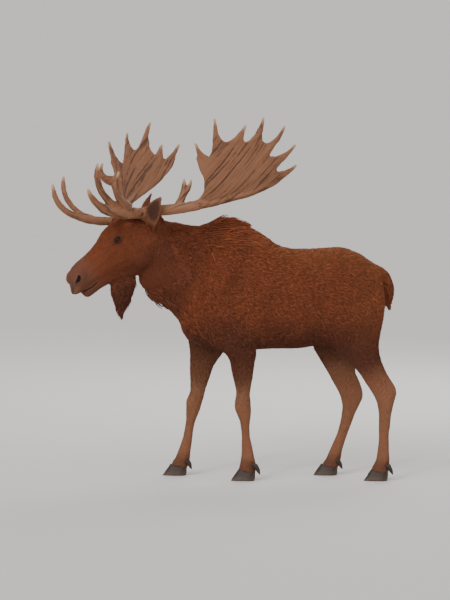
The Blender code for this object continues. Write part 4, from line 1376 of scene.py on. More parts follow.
@dataclass
class Grower:
    """Plants a lock of hair on every root with Geometry Nodes."""

    patch: float = 0.003
    unevenness: float = 0.22
    sways: tuple = (-0.9, -0.3, 0.35, 1.0)
    tree: bpy.types.NodeTree = field(init=False)
    short: bpy.types.Collection = field(init=False)
    long: bpy.types.Collection = field(init=False)

    def __post_init__(self) -> None:
        """Builds the locks to choose from and the tree."""
        self.short = bpy.data.collections.new("short_locks")
        self.long = bpy.data.collections.new("long_locks")
        for number, sway in enumerate(self.sways):
            Lock(f"short_lock_{number}", SHORT_STATIONS, sway).add(self.short)
            Lock(f"long_lock_{number}", LONG_STATIONS, sway * 1.6).add(self.long)
        self.tree = self.planting_tree()

    def planting_tree(self) -> bpy.types.NodeTree:
        """Builds the tree that plants the coat: a lock on each root, turned along the lie, scaled, realized
        and unwrapped at its root.

        Returns:
            The tree.
        """
        tree = bpy.data.node_groups.new("plant_locks", "GeometryNodeTree")
        kinds = {"Roots": "Geometry", "Locks": "Collection", "Unevenness": "Float", "Patch": "Float"}
        kinds |= {"Seed": "Int", "Hair": "Material"}
        for name, kind in kinds.items():
            tree.interface.new_socket(name, in_out="INPUT", socket_type=f"NodeSocket{kind}")
        tree.interface.new_socket("Coat", in_out="OUTPUT", socket_type="NodeSocketGeometry")
        given = add_node(tree, "NodeGroupInput").outputs

        def named(name: str) -> Any:
            """The vectors that the roots or locks carry under that name."""
            node = "GeometryNodeInputNamedAttribute"
            return add_node(tree, node, {"data_type": "FLOAT_VECTOR"}, {"Name": name}).outputs[0]

        def chance(kind: str, first: int, limits: Sequence, output: int) -> Any:
            """A random number of that kind for each root, with its limits in that input and the next."""
            inputs = {first: limits[0], first + 1: limits[1], "Seed": given["Seed"]}
            return add_node(tree, "FunctionNodeRandomValue", {"data_type": kind}, inputs).outputs[output]

        locks = add_node(
            tree,
            "GeometryNodeCollectionInfo",
            inputs={0: given["Locks"], "Separate Children": True, "Reset Children": True},
        )
        align = "FunctionNodeAlignRotationToVector"
        along = add_node(tree, align, {"axis": "X"}, {"Vector": named("lie")})
        upright = {"Rotation": along.outputs[0], "Vector": named("up")}
        turned = add_node(tree, align, {"axis": "Z", "pivot_axis": "X"}, upright)
        limits = [calculate(tree, way, 1.0, given["Unevenness"]) for way in ("SUBTRACT", "ADD")]
        planted = add_node(
            tree,
            "GeometryNodeInstanceOnPoints",
            inputs={
                "Points": given["Roots"],
                "Instance": locks.outputs[0],
                "Pick Instance": True,
                "Instance Index": chance("INT", 4, (0, len(self.sways) - 1), 2),
                "Rotation": turned.outputs[0],
                "Scale": scaled(tree, named("size"), chance("FLOAT", 2, limits, 1)),
            },
        )
        real = add_node(tree, "GeometryNodeRealizeInstances", inputs={0: planted.outputs[0]})
        patch = added(tree, named("unwrap"), scaled(tree, named("strand"), given["Patch"]))
        mapped = add_node(
            tree,
            "GeometryNodeStoreNamedAttribute",
            {"data_type": "FLOAT2", "domain": "CORNER"},
            {"Geometry": real.outputs[0], "Name": "OFBake", "Value": patch},
        )
        dress = {"Geometry": mapped.outputs[0], "Material": given["Hair"]}
        dressed = add_node(tree, "GeometryNodeSetMaterial", inputs=dress)
        add_node(tree, "NodeGroupOutput", inputs={0: dressed.outputs[0]})
        return tree

    def grow(
        self,
        name: str,
        roots: Roots,
        unwrap: np.ndarray,
        locks: bpy.types.Collection,
        hair: bpy.types.Material,
    ) -> None:
        """Makes one piece of the coat.

        Args:
            name: The piece's name.
            roots: Where its locks grow.
            unwrap: Each root's place on the unwrapped skin.
            locks: The collection of locks to choose from.
            hair: The coat's material.
        """
        bed = bpy.data.meshes.new(name)
        bed.vertices.add(len(roots.place))
        set_points(bed, roots.place)
        for key in ("up", "lie", "size", "tint", "shade"):
            keep(bed, key, getattr(roots, key))
        keep(bed, "unwrap", np.column_stack([unwrap, np.zeros(len(unwrap))]))
        carrier = put(name, bed)
        planting = carrier.modifiers.new("planting", "NODES")
        planting.node_group = self.tree
        values = {"Locks": locks, "Unevenness": self.unevenness, "Patch": self.patch}
        values |= {"Seed": SEED, "Hair": hair}
        for socket in self.tree.interface.items_tree:
            if socket.name in values:
                planting[socket.identifier] = values[socket.name]
        mesh = evaluated(carrier)
        for spare in ("unwrap", "up", "lie", "size"):
            if spare in mesh.attributes:
                mesh.attributes.remove(mesh.attributes[spare])
        piece(name, mesh, hair, "coat")


@dataclass
class Coat:
    """All the hair: short locks over the whole skin, and long ones on the mane, throat, bell and tail."""

    skin: Skin
    grower: Grower
    hair: bpy.types.Material
    face: float = 0.40  # how far down from the poll the face's own piece begins
    trunk_parts: tuple = (-math.inf, 0.06, 0.36, 0.72, math.inf)
    amidships: float = 0.40  # the legs before this x are forelegs
    hanging_density: float = 16000.0
    tuft_width: float = 0.026
    mane_spacing: float = 0.0098
    tufts: tuple = (-0.090, -0.008, 0.070)
    random: np.random.Generator = field(default_factory=lambda: np.random.default_rng(SEED))

    def build(self) -> None:
        """Plants every piece of the coat."""
        skin = self.skin
        short = self.sampled(self.short_density(), self.short_sizes())
        names = np.array(skin.nodes)[short.label]
        place, local = short.place, skin.skull.local(short.place)
        x = place[:, 0]
        head, ears = names == "head", np.isin(names, EARS)
        face = local[:, 0] < -self.face
        pieces = {
            "coat_face": (head & face, local, 0),
            "coat_cheeks": (head & ~face, local, 0),
            "coat_ears": (ears, place, 2),
            "coat_neck": (names == "neck", place, 0),
        }
        spans = itertools.pairwise(self.trunk_parts)
        for part, (start, end) in zip(("shoulders", "girth", "barrel", "rump"), spans):
            pieces[f"coat_{part}"] = ((names == "trunk") & (x >= start) & (x < end), place, 0)
        for part, _ in HANGING:
            pieces[f"coat_{part}"] = (names == part, place, 2)
        for limb in LIMBS:
            pieces[f"coat_{limb}"] = (np.char.startswith(names, limb), place, 2)
        column = (ears & (place[:, 1] > skin.midline)).astype(float)
        for name, (which, spots, axis) in pieces.items():
            unwrap = self.unwrapped(spots[which], axis, column[which])
            self.grower.grow(name, short.chosen(which), unwrap, self.grower.short, self.hair)
        long = self.sampled(self.long_density(), self.long_sizes())
        names = np.array(skin.nodes)[long.label]
        pieces = {"mane_and_throat": (np.isin(names, ("head", "neck", "trunk")), 0)}
        pieces |= {f"{part}_locks": (names == part, 2) for part, _ in HANGING}
        for name, (which, axis) in pieces.items():
            unwrap = self.unwrapped(long.place[which], axis, np.zeros(which.sum()))
            self.grower.grow(name, long.chosen(which), unwrap, self.grower.long, self.hair)

    def short_density(self) -> np.ndarray:
        """How many short locks grow on a square metre.

        Returns:
            The density at each vertex.
        """
        skin = self.skin
        density = skin.shares @ np.array([1 / HAIR[r].spacing ** 2 for r in Region])
        density *= 1 + 0.8 * bump(skin.share(Region.EAR), 0.5, 0.5)
        return density * (1 - skin.bareness) * (1 - skin.eye_room) * ramp(skin.points[:, 2], 0.066, 0.080)

    def short_sizes(self) -> np.ndarray:
        """Sizes the short locks.

        Returns:
            Their length, width and rise at each vertex.
        """
        skin = self.skin
        length, width, depth = (skin.mixed(k) for k in ("length", "width", "depth"))
        head, forward = skin.share(Region.HEAD), -skin.local[:, 0]
        muzzle = head * ramp(forward, 0.42, 0.66)
        cheek = head * ramp(forward, 0.30, 0.06)
        behind = skin.share(Region.NECK) * ramp(forward, -0.16, 0.04)
        length = length * (1 - 0.45 * muzzle + 1.2 * cheek - 0.45 * behind) * (1 + 0.4 * skin.lining)
        for name, region in HANGING:
            room = 0.008 + 0.7 * self.above_end(name)
            length = np.where(skin.share(region) > 0.5, np.minimum(length, room), length)
        low = [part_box(f"left_{leg}_upper")[0].z for leg in ("foreleg", "hindleg")]
        above = skin.points[:, 2] - np.where(skin.points[:, 0] < self.amidships, *low)
        knee = skin.share(Region.UPPER_LEG) * ramp(above, 0.24, 0.03)
        length = length * (1 - 0.45 * knee)
        width = width * (1 - 0.30 * muzzle + 0.5 * cheek - 0.25 * behind - 0.2 * knee)
        rise = depth * (1 - 0.50 * muzzle - 0.35 * behind - 0.60 * knee) * (1 + 0.3 * skin.lining)
        foot = ramp(skin.points[:, 2], 0.18, 0.08)
        heel = bump(skin.points[:, 2], 0.140, 0.060) * ramp(skin.normals[:, 0], 0.0, 0.6)
        length = length * (1 - 0.25 * foot + 1.0 * heel)
        return np.column_stack([length, width * (1 - 0.2 * foot), rise * (1 + heel)])

    def above_end(self, name: str) -> np.ndarray:
        """How far each vertex is above the low end of the bell or tail."""
        return np.maximum(self.skin.points[:, 2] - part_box(name)[0].z, 0)

    def crest(self) -> np.ndarray:
        """How much each vertex carries the mane that runs down the neck and over the hump.

        Returns:
            A share from 0 to 1 for each vertex.
        """
        skin = self.skin
        x = skin.points[:, 0]
        body = skin.share(Region.NECK) + skin.share(Region.TRUNK)
        on_top = ramp(body, 0.7, 1.0) * ramp(skin.normals[:, 2], 0.30, 0.85)
        return on_top * ramp(x, 0.36, 0.12) * ramp(x, -0.50, -0.40)

    def throat(self) -> np.ndarray:
        """How much each vertex carries the fringe of the throat and brisket.

        Returns:
            A share from 0 to 1 for each vertex.
        """
        skin = self.skin
        body = skin.share(Region.NECK) + skin.share(Region.TRUNK) * ramp(skin.points[:, 0], 0.0, -0.12)
        return body * ramp(skin.normals[:, 2] + 0.6 * skin.normals[:, 0], -0.35, -0.95)

    def hanging(self, region: Region) -> np.ndarray:
        """How much each vertex is on the free part of the bell or tail, clear of its root."""
        return ramp(self.skin.share(region), 0.5, 0.9)

    def long_density(self) -> np.ndarray:
        """How many long locks grow on a square metre, at each vertex."""
        fore = np.maximum(self.crest(), 0.75 * self.throat()) / self.mane_spacing**2
        return fore + sum(self.hanging(region) * self.hanging_density for _, region in HANGING)

    def long_sizes(self) -> np.ndarray:
        """Sizes the long locks.

        Returns:
            Their length, width and rise at each vertex.
        """
        skin = self.skin
        x = skin.points[:, 0]
        crest, throat = self.crest() > 0.05, self.throat() > 0.05
        hump = bump(x, 0.0, 0.30) * crest
        tuft = sum(bump(x, middle, self.tuft_width) for middle in self.tufts) * crest
        high = throat * ramp(x, -0.38, -0.50)
        ragged = np.maximum(0, noise(skin.points * (1, 0.2, 1), 0.030, 14)) * (0.35 * throat + 0.65 * high)
        bell, tail = self.hanging(Region.BELL), self.hanging(Region.TAIL)
        length = 0.075 + 0.018 * hump + 0.030 * tuft + 0.030 * ragged - 0.014 * bell - 0.012 * tail
        rise = 0.016 - 0.004 * hump + 0.025 * tuft + 0.020 * ragged + 0.010 * high - 0.005 * throat
        rise = rise - 0.007 * bell - 0.010 * tail
        for name, own in (("bell", bell), ("tail", tail)):
            above = self.above_end(name)
            length = np.where(own > 0, np.minimum(length, 0.010 + 0.75 * above), length)
            rise = rise * (1 - 0.6 * own * ramp(above, 0.16, 0.03))
        return np.column_stack([length, 0.0080 - 0.0025 * np.maximum(bell, tail), rise])

    def sampled(self, density: np.ndarray, sizes: np.ndarray) -> Roots:
        """Scatters roots evenly over the skin.

        Args:
            density: Roots on a square metre, at each vertex.
            sizes: Length, width and rise, at each vertex.

        Returns:
            The roots.
        """
        skin, random = self.skin, self.random
        skin.mesh.calc_loop_triangles()
        corners = np.empty(len(skin.mesh.loop_triangles) * 3, np.int32)
        skin.mesh.loop_triangles.foreach_get("vertices", corners)
        corners = corners.reshape(-1, 3)
        a, b, c = (skin.points[corners[:, i]] for i in range(3))
        area = np.linalg.norm(np.cross(b - a, c - a), axis=1) / 2
        total = np.cumsum(area * density[corners].mean(axis=1))
        count = int(total[-1])
        LOG.info("%d roots on %.2f square metres", count, area.sum())
        picks = np.searchsorted(total, np.arange(count) + random.random(count))
        picks = corners[np.minimum(picks, len(corners) - 1)]
        share = random.random((count, 2))
        over = share.sum(axis=1) > 1
        share[over] = 1 - share[over]
        weights = np.column_stack([1 - share.sum(axis=1), share])

        def spot(values: np.ndarray) -> np.ndarray:
            """The values at the roots."""
            return np.einsum("ij,ij...->i...", weights, values[picks])

        place, up = spot(skin.points), unit(spot(skin.normals))
        lie = along_surface(spot(skin.lie), up)
        swirl = 0.17 * random.standard_normal(count) + 0.20 * noise(place, 0.12, 5)
        lie = lie * np.cos(swirl)[:, None] + np.cross(up, lie) * np.sin(swirl)[:, None]
        hanging = spot(sum(self.hanging(region) for _, region in HANGING))
        droop = hanging * 2.6 * ramp(-up[:, 2], 0.3, 0.8)
        lie = unit(lie - droop[:, None] * (0, 0, 1))
        size = spot(sizes)
        size[:, 2] *= 0.45 + 0.65 * random.random(count)
        size[:, 1] *= 0.75 + 0.5 * random.random(count)
        clump = 0.6 * noise(place, 0.035, 9) + 0.5 * noise(place, 0.110, 11)
        shade = np.clip(0.26 * random.standard_normal(count) + 0.55 * clump, -1, 1)
        label = skin.labels[picks[:, 0]]
        free = np.isin(label, skin.ears) | (hanging * -up[:, 2] > 0.35)
        lie, up, bent = self.laid(place, up, lie, size[:, 0], free)
        size[bent] *= (0.45, 0.8, 0.4)
        return Roots(place - up * 0.0015, up, lie, size, spot(skin.tint), shade, label)

    def laid(
        self, place: np.ndarray, up: np.ndarray, lie: np.ndarray, length: np.ndarray, free: np.ndarray
    ) -> tuple[np.ndarray, np.ndarray, np.ndarray]:
        """Turns locks so that their tips come down to the skin where it curves away, but not where they are
        free to overhang it.

        Args:
            place: The roots.
            up: The skin's normals there.
            lie: The way that the locks point.
            length: How long they are.
            free: Which of them overhang.

        Returns:
            The new directions of the locks and of their upper sides, and which locks turned sharply.
        """
        tips = place + lie * length[:, None]
        found = [self.skin.surface.find_nearest(tip)[:2] for tip in tips.tolist()]
        landed, facing = (np.array(column) for column in zip(*found))
        chord = landed - place
        short = np.linalg.norm(chord, axis=1) < 0.4 * length
        clear = np.sum((tips - landed) * facing, axis=1) > 0
        chord = unit(chord)
        bent = short | (np.sum(chord * lie, axis=1) < 0.84)
        lie = np.where(((free & clear) | short)[:, None], lie, chord)
        return lie, along_surface(up, lie), bent & ~(free & clear)

    def unwrapped(self, points: np.ndarray, axis: int, column: np.ndarray) -> np.ndarray:
        """Unwraps roots around their limb or barrel, whose middle follows the skin's own shape.

        Args:
            points: The roots.
            axis: The axis that the limb runs along.
            column: Which of two limbs each root is on, 0 or 1.

        Returns:
            A place from 0 to 1 both ways for each root.
        """
        along = points[:, axis]
        low, high = along.min(), along.max()
        place = (along - low) / max(high - low, 1e-6)
        bins = np.minimum((place * 14).astype(int), 13) + 14 * column.astype(int)
        others = [i for i in range(3) if i != axis]
        middle = np.zeros((28, 2))
        for number in np.unique(bins):
            inside = points[bins == number][:, others]
            middle[number] = (inside.min(0) + inside.max(0)) / 2
        offset = points[:, others] - middle[bins]
        angle = np.arctan2(offset[:, 1], offset[:, 0]) / (2 * math.pi) + 0.5
        columns = column.max() + 1 if len(column) else 1
        return np.column_stack([0.004 + 0.988 * place, (column + 0.004 + 0.988 * angle) / columns])


# ---- eyes -------------------------------------------------------------------------------------------------


@dataclass
class Eye:
    """One eye: its wet ball and the two lids that close round it, in the eye's own axes."""

    skin: Skin
    side: str
    radius: float = EYE_RADIUS
    half_length: float = 0.0180
    top: float = 0.0128
    bottom: float = 0.0108
    steps: int = 56
    profile: tuple = (  # across the lids: how far out, on what and how high above it
        (0.90, "ball", -0.0045), (0.94, "ball", -0.0004), (0.99, "ball", 0.0010), (1.05, "ball", 0.0023),
        (1.16, "ball", 0.0031), (1.32, "ball", 0.0027), (1.44, "both", 0.0020), (1.56, "both", 0.0030),
        (1.72, "skin", 0.0026), (1.90, "skin", 0.0008), (2.05, "skin", -0.0015), (2.05, "skin", -0.0070),
    )
    bare_lid: float = 1.2  # the lids are hairless within this multiple of the opening
    lid_edge: str = "#15100d"
    lash_count: int = 34
    velvet_count: int = 900
    lash: tuple = (0.015, 0.0009, 0.0035)  # its length, width and rise
    velvet: tuple = (0.0075, 0.0013, 0.0014)
    velvet_start: float = 1.22
    velvet_reach: float = 2.05
    patch_scale: float = 8.0

    def __post_init__(self) -> None:
        """Finds the eye's place and axes."""
        self.centre = np.array(self.skin.skull.eyes[self.side])
        self.nose, self.up, self.out = self.skin.skull.eye_axes(self.side)

    def placed(self, x: float, y: float, z: float) -> np.ndarray:
        """A point of the eye's axes in the model."""
        return self.centre + self.nose * x + self.up * y + self.out * z

    def ball(self, finish: bpy.types.Material) -> None:
        """Builds the eyeball with its cornea.

        Args:
            finish: The eye's finish.
        """
        bm = bmesh.new()
        bmesh.ops.create_uvsphere(bm, u_segments=48, v_segments=32, radius=1.0)
        spots = np.array([v.co[:] for v in bm.verts])
        far = np.hypot(spots[:, 0], spots[:, 1])
        cornea = 1 + 0.055 * ramp(far, 0.62, 0.0) * (spots[:, 2] > 0)
        axes = np.array([self.nose, self.up, self.out])
        for vertex, point in zip(bm.verts, self.centre + (spots * cornea[:, None] * self.radius) @ axes):
            vertex.co = point
        bmesh.ops.recalc_face_normals(bm, faces=bm.faces)
        mesh = closed(bm, bpy.data.meshes.new("eyeball"))
        keep(mesh, "gaze", spots)
        piece(f"{self.side}_eyeball", mesh, finish, "eye", f"{self.side}_eye")

    def rim(self, turn: float) -> tuple[float, float]:
        """The lids' opening: an almond, fuller above.

        Args:
            turn: The turn round the eye from its nose corner.

        Returns:
            How far the opening's rim is towards the nose, and up, from the eye's middle.
        """
        tall = self.top if math.sin(turn) > 0 else self.bottom
        pinch = 1 - 0.30 * abs(math.cos(turn)) ** 3
        return self.half_length * math.cos(turn), tall * math.sin(turn) * pinch

    def height(self, turn: float, spread: float, base: str, lift: float) -> np.ndarray:
        """A point over the eye.

        Args:
            turn: The turn round the eye from its nose corner.
            spread: How far out it is, as a multiple of the opening's rim.
            base: What it lies on: the "ball", the "skin", or "both", whichever stands higher.
            lift: How far above that it is.

        Returns:
            The point, in the model.
        """
        x, y = (spread * r for r in self.rim(turn))
        ball = math.sqrt(max(self.radius**2 - x * x - y * y, (0.25 * self.radius) ** 2))
        hit = self.skin.surface.ray_cast(Vector(self.placed(x, y, 0.09)), Vector(-self.out), 0.15)[3]
        skin = 0.09 - hit if hit is not None else ball
        level = {"ball": ball, "skin": skin, "both": max(ball - 0.002, skin)}[base]
        fold = 1.0 if base == "ball" or math.sin(turn) < 0 else 1.35
        return self.placed(x, y, level + lift * fold)

    def lids(self, finish: bpy.types.Material) -> None:
        """Builds the lids as one closed ring that rolls over the ball and sinks into the skin.

        Args:
            finish: The skin's finish.
        """
        turns = [2 * math.pi * step / self.steps for step in range(self.steps)]
        points = [self.height(turn, *row) for turn in turns for row in self.profile]
        rows = len(self.profile)
        faces = []
        for step, row in itertools.product(range(self.steps), range(rows)):
            a, b = step * rows, (step + 1) % self.steps * rows
            faces.append((a + row, a + (row + 1) % rows, b + (row + 1) % rows, b + row))
        mesh = polygon_mesh("lids", points, faces)
        dark, coat = np.array(linear(self.lid_edge)), np.array(linear(Markings().eye_ring))
        spreads = np.tile([spread for spread, _, _ in self.profile], self.steps)
        outer = np.clip((spreads - self.bare_lid) / 0.3, 0, 1)[:, None]
        keep(mesh, "tint", dark + (coat - dark) * outer)
        back = np.tile(self.skin.skull.heading((1, 0, 0)), (len(points), 1))
        keep(mesh, "lie", along_surface(back, normals_of(mesh)))
        keep(mesh, "bare", (spreads < self.bare_lid).astype(float))
        piece(f"{self.side}_eyelids", mesh, finish, "coat")

    def lashes(self, grower: Grower, hair: bpy.types.Material) -> None:
        """Plants the upper lid's lashes and the velvet of short hairs that covers both lids.

        Args:
            grower: What plants them.
            hair: The coat's material.
        """
        random = np.random.default_rng(SEED)
        place, up, lie, size, blend = [], [], [], [], [0.0] * self.lash_count
        for number in range(self.lash_count):
            turn = math.pi * (0.12 + 0.80 * (number + 0.5 * random.random()) / self.lash_count)
            root = self.height(turn, 1.03, "ball", 0.0016)
            way = self.out * 0.75 + self.up * 0.20 * math.sin(turn) + self.nose * 0.75 * math.cos(turn)
            place.append(root)
            lie.append(way - self.up * 0.25)
            up.append(self.up)
            size.append(self.lash)
        for _ in range(self.velvet_count):
            turn = 2 * math.pi * random.random()
            spread = self.velvet_start + (self.velvet_reach - self.velvet_start) * random.random()
            place.append(self.height(turn, spread, "ball" if spread < 1.4 else "both", 0.0012))
            across = self.nose * math.cos(turn) + self.up * math.sin(turn)
            lie.append(across * 0.8 - self.nose * 0.5 - self.up * 0.2 + self.out * 0.1)
            up.append(self.out)
            size.append(self.velvet)
            blend.append(ramp(np.array(spread), 1.3, 1.9))
        place, up, lie, size = (np.array(v) for v in (place, up, lie, size))
        dark, coat = np.array(linear(Markings().eye_ring)), np.array(linear(Markings().body))
        tint = dark + (coat - dark) * 0.8 * np.array(blend)[:, None]
        tint[: self.lash_count] = linear(self.lid_edge)
        lie = unit(lie)
        shade = np.clip(0.3 * random.standard_normal(len(place)), -1, 1)
        roots = Roots(place, along_surface(up, lie), lie, size, tint, shade, np.zeros(len(place)))
        offset = place - self.centre
        unwrap = 0.5 + np.column_stack([offset @ self.nose, offset @ self.up]) * self.patch_scale
        grower.grow(f"{self.side}_lashes", roots, unwrap, grower.short, hair)


# ---- antlers ----------------------------------------------------------------------------------------------


@dataclass(frozen=True)
class Fairing:
    """A taper of bone that carries the blunt end of a beam on into its palm."""

    start: tuple[float, float, float]
    end: tuple[float, float, float]
    thick: float
    thin: float

    def add_to(self, solids: bpy.types.Mesh) -> None:
        """Adds the taper to a mesh of solids.

        Args:
            solids: The antler's joined solids.
        """
        way = Vector(self.end) - Vector(self.start)
        lie = way.to_track_quat("Z", "Y").to_matrix().to_4x4()
        bm = opened(solids)
        bmesh.ops.create_cone(
            bm,
            cap_ends=True,
            segments=32,
            radius1=self.thick,
            radius2=self.thin,
            depth=way.length,
            matrix=Matrix.Translation(Vector(self.start) + way / 2) @ lie,
        )
        closed(bm, solids)


FAIRINGS = {
    "left": Fairing((-0.192, -0.428, 2.027), (-0.060, -0.4125, 2.042), 0.034, 0.018),
    "right": Fairing((-0.728, 0.105, 1.982), (-0.650, 0.2235, 2.033), 0.030, 0.013),
}


@dataclass
class Antler:
    """One antler in one piece: gutters and ridges that run from the burr to the tips, pearls near the burr
    and worn tips."""

    side: str
    skull: Skull
    voxel: float = 0.0046
    swell: float = 0.0014
    smoothing: int = 9
    at_tips: int = 2
    at_joins: int = 30
    join_reach: float = 0.060
    beam_reach: float = 0.150  # past where the beam's end sinks into the palm
    worn: tuple = (0.070, 0.006)  # the tines are worn pale between these distances from their tips
    pearled: tuple = (0.30, 0.03)  # the pearls thicken between these distances from the root
    burr: tuple = (0.030, 0.022)  # how far from the root the burr is, and half its breadth
    burr_rise: float = 0.006
    pedicle: tuple = (-0.165, 0.115, 0.125)  # out along the side that the antler is on
    gutter: float = 0.0042
    gutter_gap: float = 0.0105
    gutter_reach: float = 0.17
    pearl: float = 0.0032

    def build(self, finish: bpy.types.Material) -> None:
        """Builds the antler from its three solids.

        Args:
            finish: The antler's finish.
        """
        names = [f"{self.side}_antler_{part}" for part in ("brow", "beam", "palm")]
        solids = joined("solids", [swollen(n, self.swell) for n in names])
        FAIRINGS[self.side].add_to(solids)
        mesh = remeshed(solids, self.voxel)
        web = Web(mesh)
        points = points_of(mesh)
        travel = self.from_burr(web, points)
        tips = self.tips(web, travel)
        from_tip = web.distances(points, tips)
        passes = self.at_tips + (self.smoothing - self.at_tips) * ramp(from_tip, 0.015, 0.060)
        from_joins, from_palm = self.from_joins(web, points, names)
        near_join = np.maximum(
            ramp(from_joins, self.join_reach, 0.4 * self.join_reach),
            ramp(from_palm, self.beam_reach, 0.7 * self.beam_reach),
        )
        points = web.relaxed(points, np.round(passes))
        set_points(mesh, points)
        points = web.evened(points, normals_of(mesh), near_join, self.at_joins)
        set_points(mesh, points)
        groove, worn, points = self.weather(web, points, normals_of(mesh), travel, from_tip)
        set_points(mesh, points)
        keep(mesh, "groove", groove)
        keep(mesh, "worn", worn)
        piece(f"{self.side}_antler", mesh, finish, "antler", *names)

    def weather(
        self, web: Web, points: np.ndarray, normals: np.ndarray, travel: np.ndarray, from_tip: np.ndarray
    ) -> tuple[np.ndarray, np.ndarray, np.ndarray]:
        """Cuts the gutters, raises the burr and its pearls, and wears the tines.

        Args:
            web: The antler's web.
            points: Its vertices.
            normals: The normal at each.
            travel: How far each is from the root.
            from_tip: How far each is from the nearest tip.

        Returns:
            How pale or dark each vertex is, how worn it is, and where it moves.
        """
        growth = self.gradient(web, points, travel, normals)
        streak = Flow(points, growth, 0.012).smeared(points, growth, self.gutter_gap, self.gutter_reach, 3)
        streak = 0.35 * ramp(streak, 0.1, 0.9) - ramp(streak, -0.12, -0.80)
        worn = ramp(from_tip, *self.worn)
        near_burr = ramp(travel, *self.pearled)
        pearls = np.maximum(0, noise(points, 0.0085, 1)) * near_burr
        pearls += np.maximum(0, noise(points, 0.016, 4)) * near_burr * 0.8
        burr = bump(travel, *self.burr) * (0.55 + 0.45 * noise(points, 0.011, 2))
        waves = noise(points, 0.045, 6) * 0.0012 + noise(points, 0.018, 8) * 0.0005
        move = streak * self.gutter * (1 - worn) + pearls * self.pearl
        move = move + burr * self.burr_rise + waves * (1 - worn)
        return np.clip(streak * 0.9 + pearls * 0.5, -1, 1), worn, points + normals * move[:, None]

    def from_burr(self, web: Web, points: np.ndarray) -> np.ndarray:
        """Measures the antler from where it grows out of the skull.

        Args:
            web: The antler's web.
            points: Its vertices.

        Returns:
            How far along the antler each vertex is.
        """
        forward, out, height = self.pedicle
        root = self.skull.placed((forward, dict(SIDES)[self.side] * out, height))
        from_root = np.linalg.norm(points - root, axis=1)
        travel = web.distances(points, np.flatnonzero(from_root < from_root.min() + 0.015))
        return web.spread(travel, 6)

    def from_joins(self, web: Web, points: np.ndarray, names: Sequence[str]) -> tuple[np.ndarray, np.ndarray]:
        """How far each vertex is from the places where the antler's solids meet.

        Args:
            web: The antler's web.
            points: Its vertices.
            names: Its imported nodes, the brow first.

        Returns:
            The distance from where any two meet, and from where the beam and the palm do.
        """
        trees = [surface_of(FRAME["nodes"][name].data) for name in names]
        nearest = [min(range(len(trees)), key=lambda i: trees[i].find_nearest(p)[3]) for p in points.tolist()]
        owner = np.array(nearest)
        crossing = owner[web.source] != owner[web.target]
        at_palm = crossing & (owner[web.source] > 0) & (owner[web.target] > 0)
        any_two, palm = (web.distances(points, np.unique(web.source[m])) for m in (crossing, at_palm))
        return any_two, palm

    def gradient(self, web: Web, points: np.ndarray, values: np.ndarray, normals: np.ndarray) -> np.ndarray:
        """Finds the way along the surface in which the values grow fastest.

        Args:
            web: The antler's web.
            points: Its vertices.
            values: The value at each.
            normals: The normal at each.

        Returns:
            The direction at each vertex.
        """
        step = points[web.target] - points[web.source]
        rise = (values[web.target] - values[web.source]) / np.maximum(np.sum(step * step, axis=1), 1e-12)
        slope = np.add.reduceat(step * rise[:, None], web.start, axis=0)
        return along_surface(web.spread(slope, 8), normals)

    def tips(self, web: Web, travel: np.ndarray) -> np.ndarray:
        """Finds the ends of the tines: vertices farther from the burr than all around them.

        Args:
            web: The antler's web.
            travel: How far each of its vertices is from the burr.

        Returns:
            Their numbers.
        """
        best = travel
        for _ in range(12):
            best = np.maximum(best, np.maximum.reduceat(best[web.target], web.start))
        return np.flatnonzero((travel >= best - 1e-9) & (travel > 0.22))


# ---- hooves -----------------------------------------------------------------------------------------------


@dataclass
class Hoof:
    """One foot's two claws and two dewclaws, in grown rings with a worn edge."""

    limb: str
    voxel: float = 0.0030
    ring_gap: float = 0.0085
    ring_depth: float = 0.0007

    def build(self, finish: bpy.types.Material) -> None:
        """Builds the hoof from its four solids.

        Args:
            finish: The horn's finish.
        """
        names = [f"{self.limb}_{place}_{kind}" for place in ("left", "right") for kind in ("claw", "dewclaw")]
        mesh = joined("hoof", [self.horn(name) for name in names])
        points, normals = points_of(mesh), normals_of(mesh)
        height = points[:, 2] + 0.30 * (points[:, 0] - points[:, 0].min())
        phase = height / self.ring_gap + 0.5 * noise(points, 0.03, 2)
        ring = 0.5 + 0.5 * np.cos(phase * 2 * math.pi)
        above = ramp(points[:, 2], 0.004, 0.012)
        chips = np.minimum(0, noise(points, 0.007, 5)) * ramp(points[:, 2], 0.016, 0.004) * 0.0012
        move = (ring - 0.5) * self.ring_depth * above + chips + 0.0004 * noise(points, 0.005, 3) * above
        points = points + normals * move[:, None]
        points[:, 2] = np.maximum(points[:, 2], 0.0)
        set_points(mesh, points)
        keep(mesh, "ring", ring * above)
        keep(mesh, "edge", ramp(points[:, 2], 0.045, 0.0))
        piece(f"{self.limb}_hoof", mesh, finish, "hoof", *names)

    def horn(self, name: str) -> bpy.types.Mesh:
        """Makes one claw.

        Args:
            name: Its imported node's name.

        Returns:
            An even, softened surface.
        """
        mesh = remeshed(swollen(name, 0.0), self.voxel)
        web = Web(mesh)
        points = points_of(mesh)
        sole = ramp(points[:, 2], 0.005, 0.001)[:, None]
        softened = web.relaxed(points, np.full(len(points), 5.0))
        softened[:, 2:] = softened[:, 2:] * (1 - sole) + points[:, 2:] * sole
        set_points(mesh, softened)
        return mesh


# ---- studio -----------------------------------------------------------------------------------------------


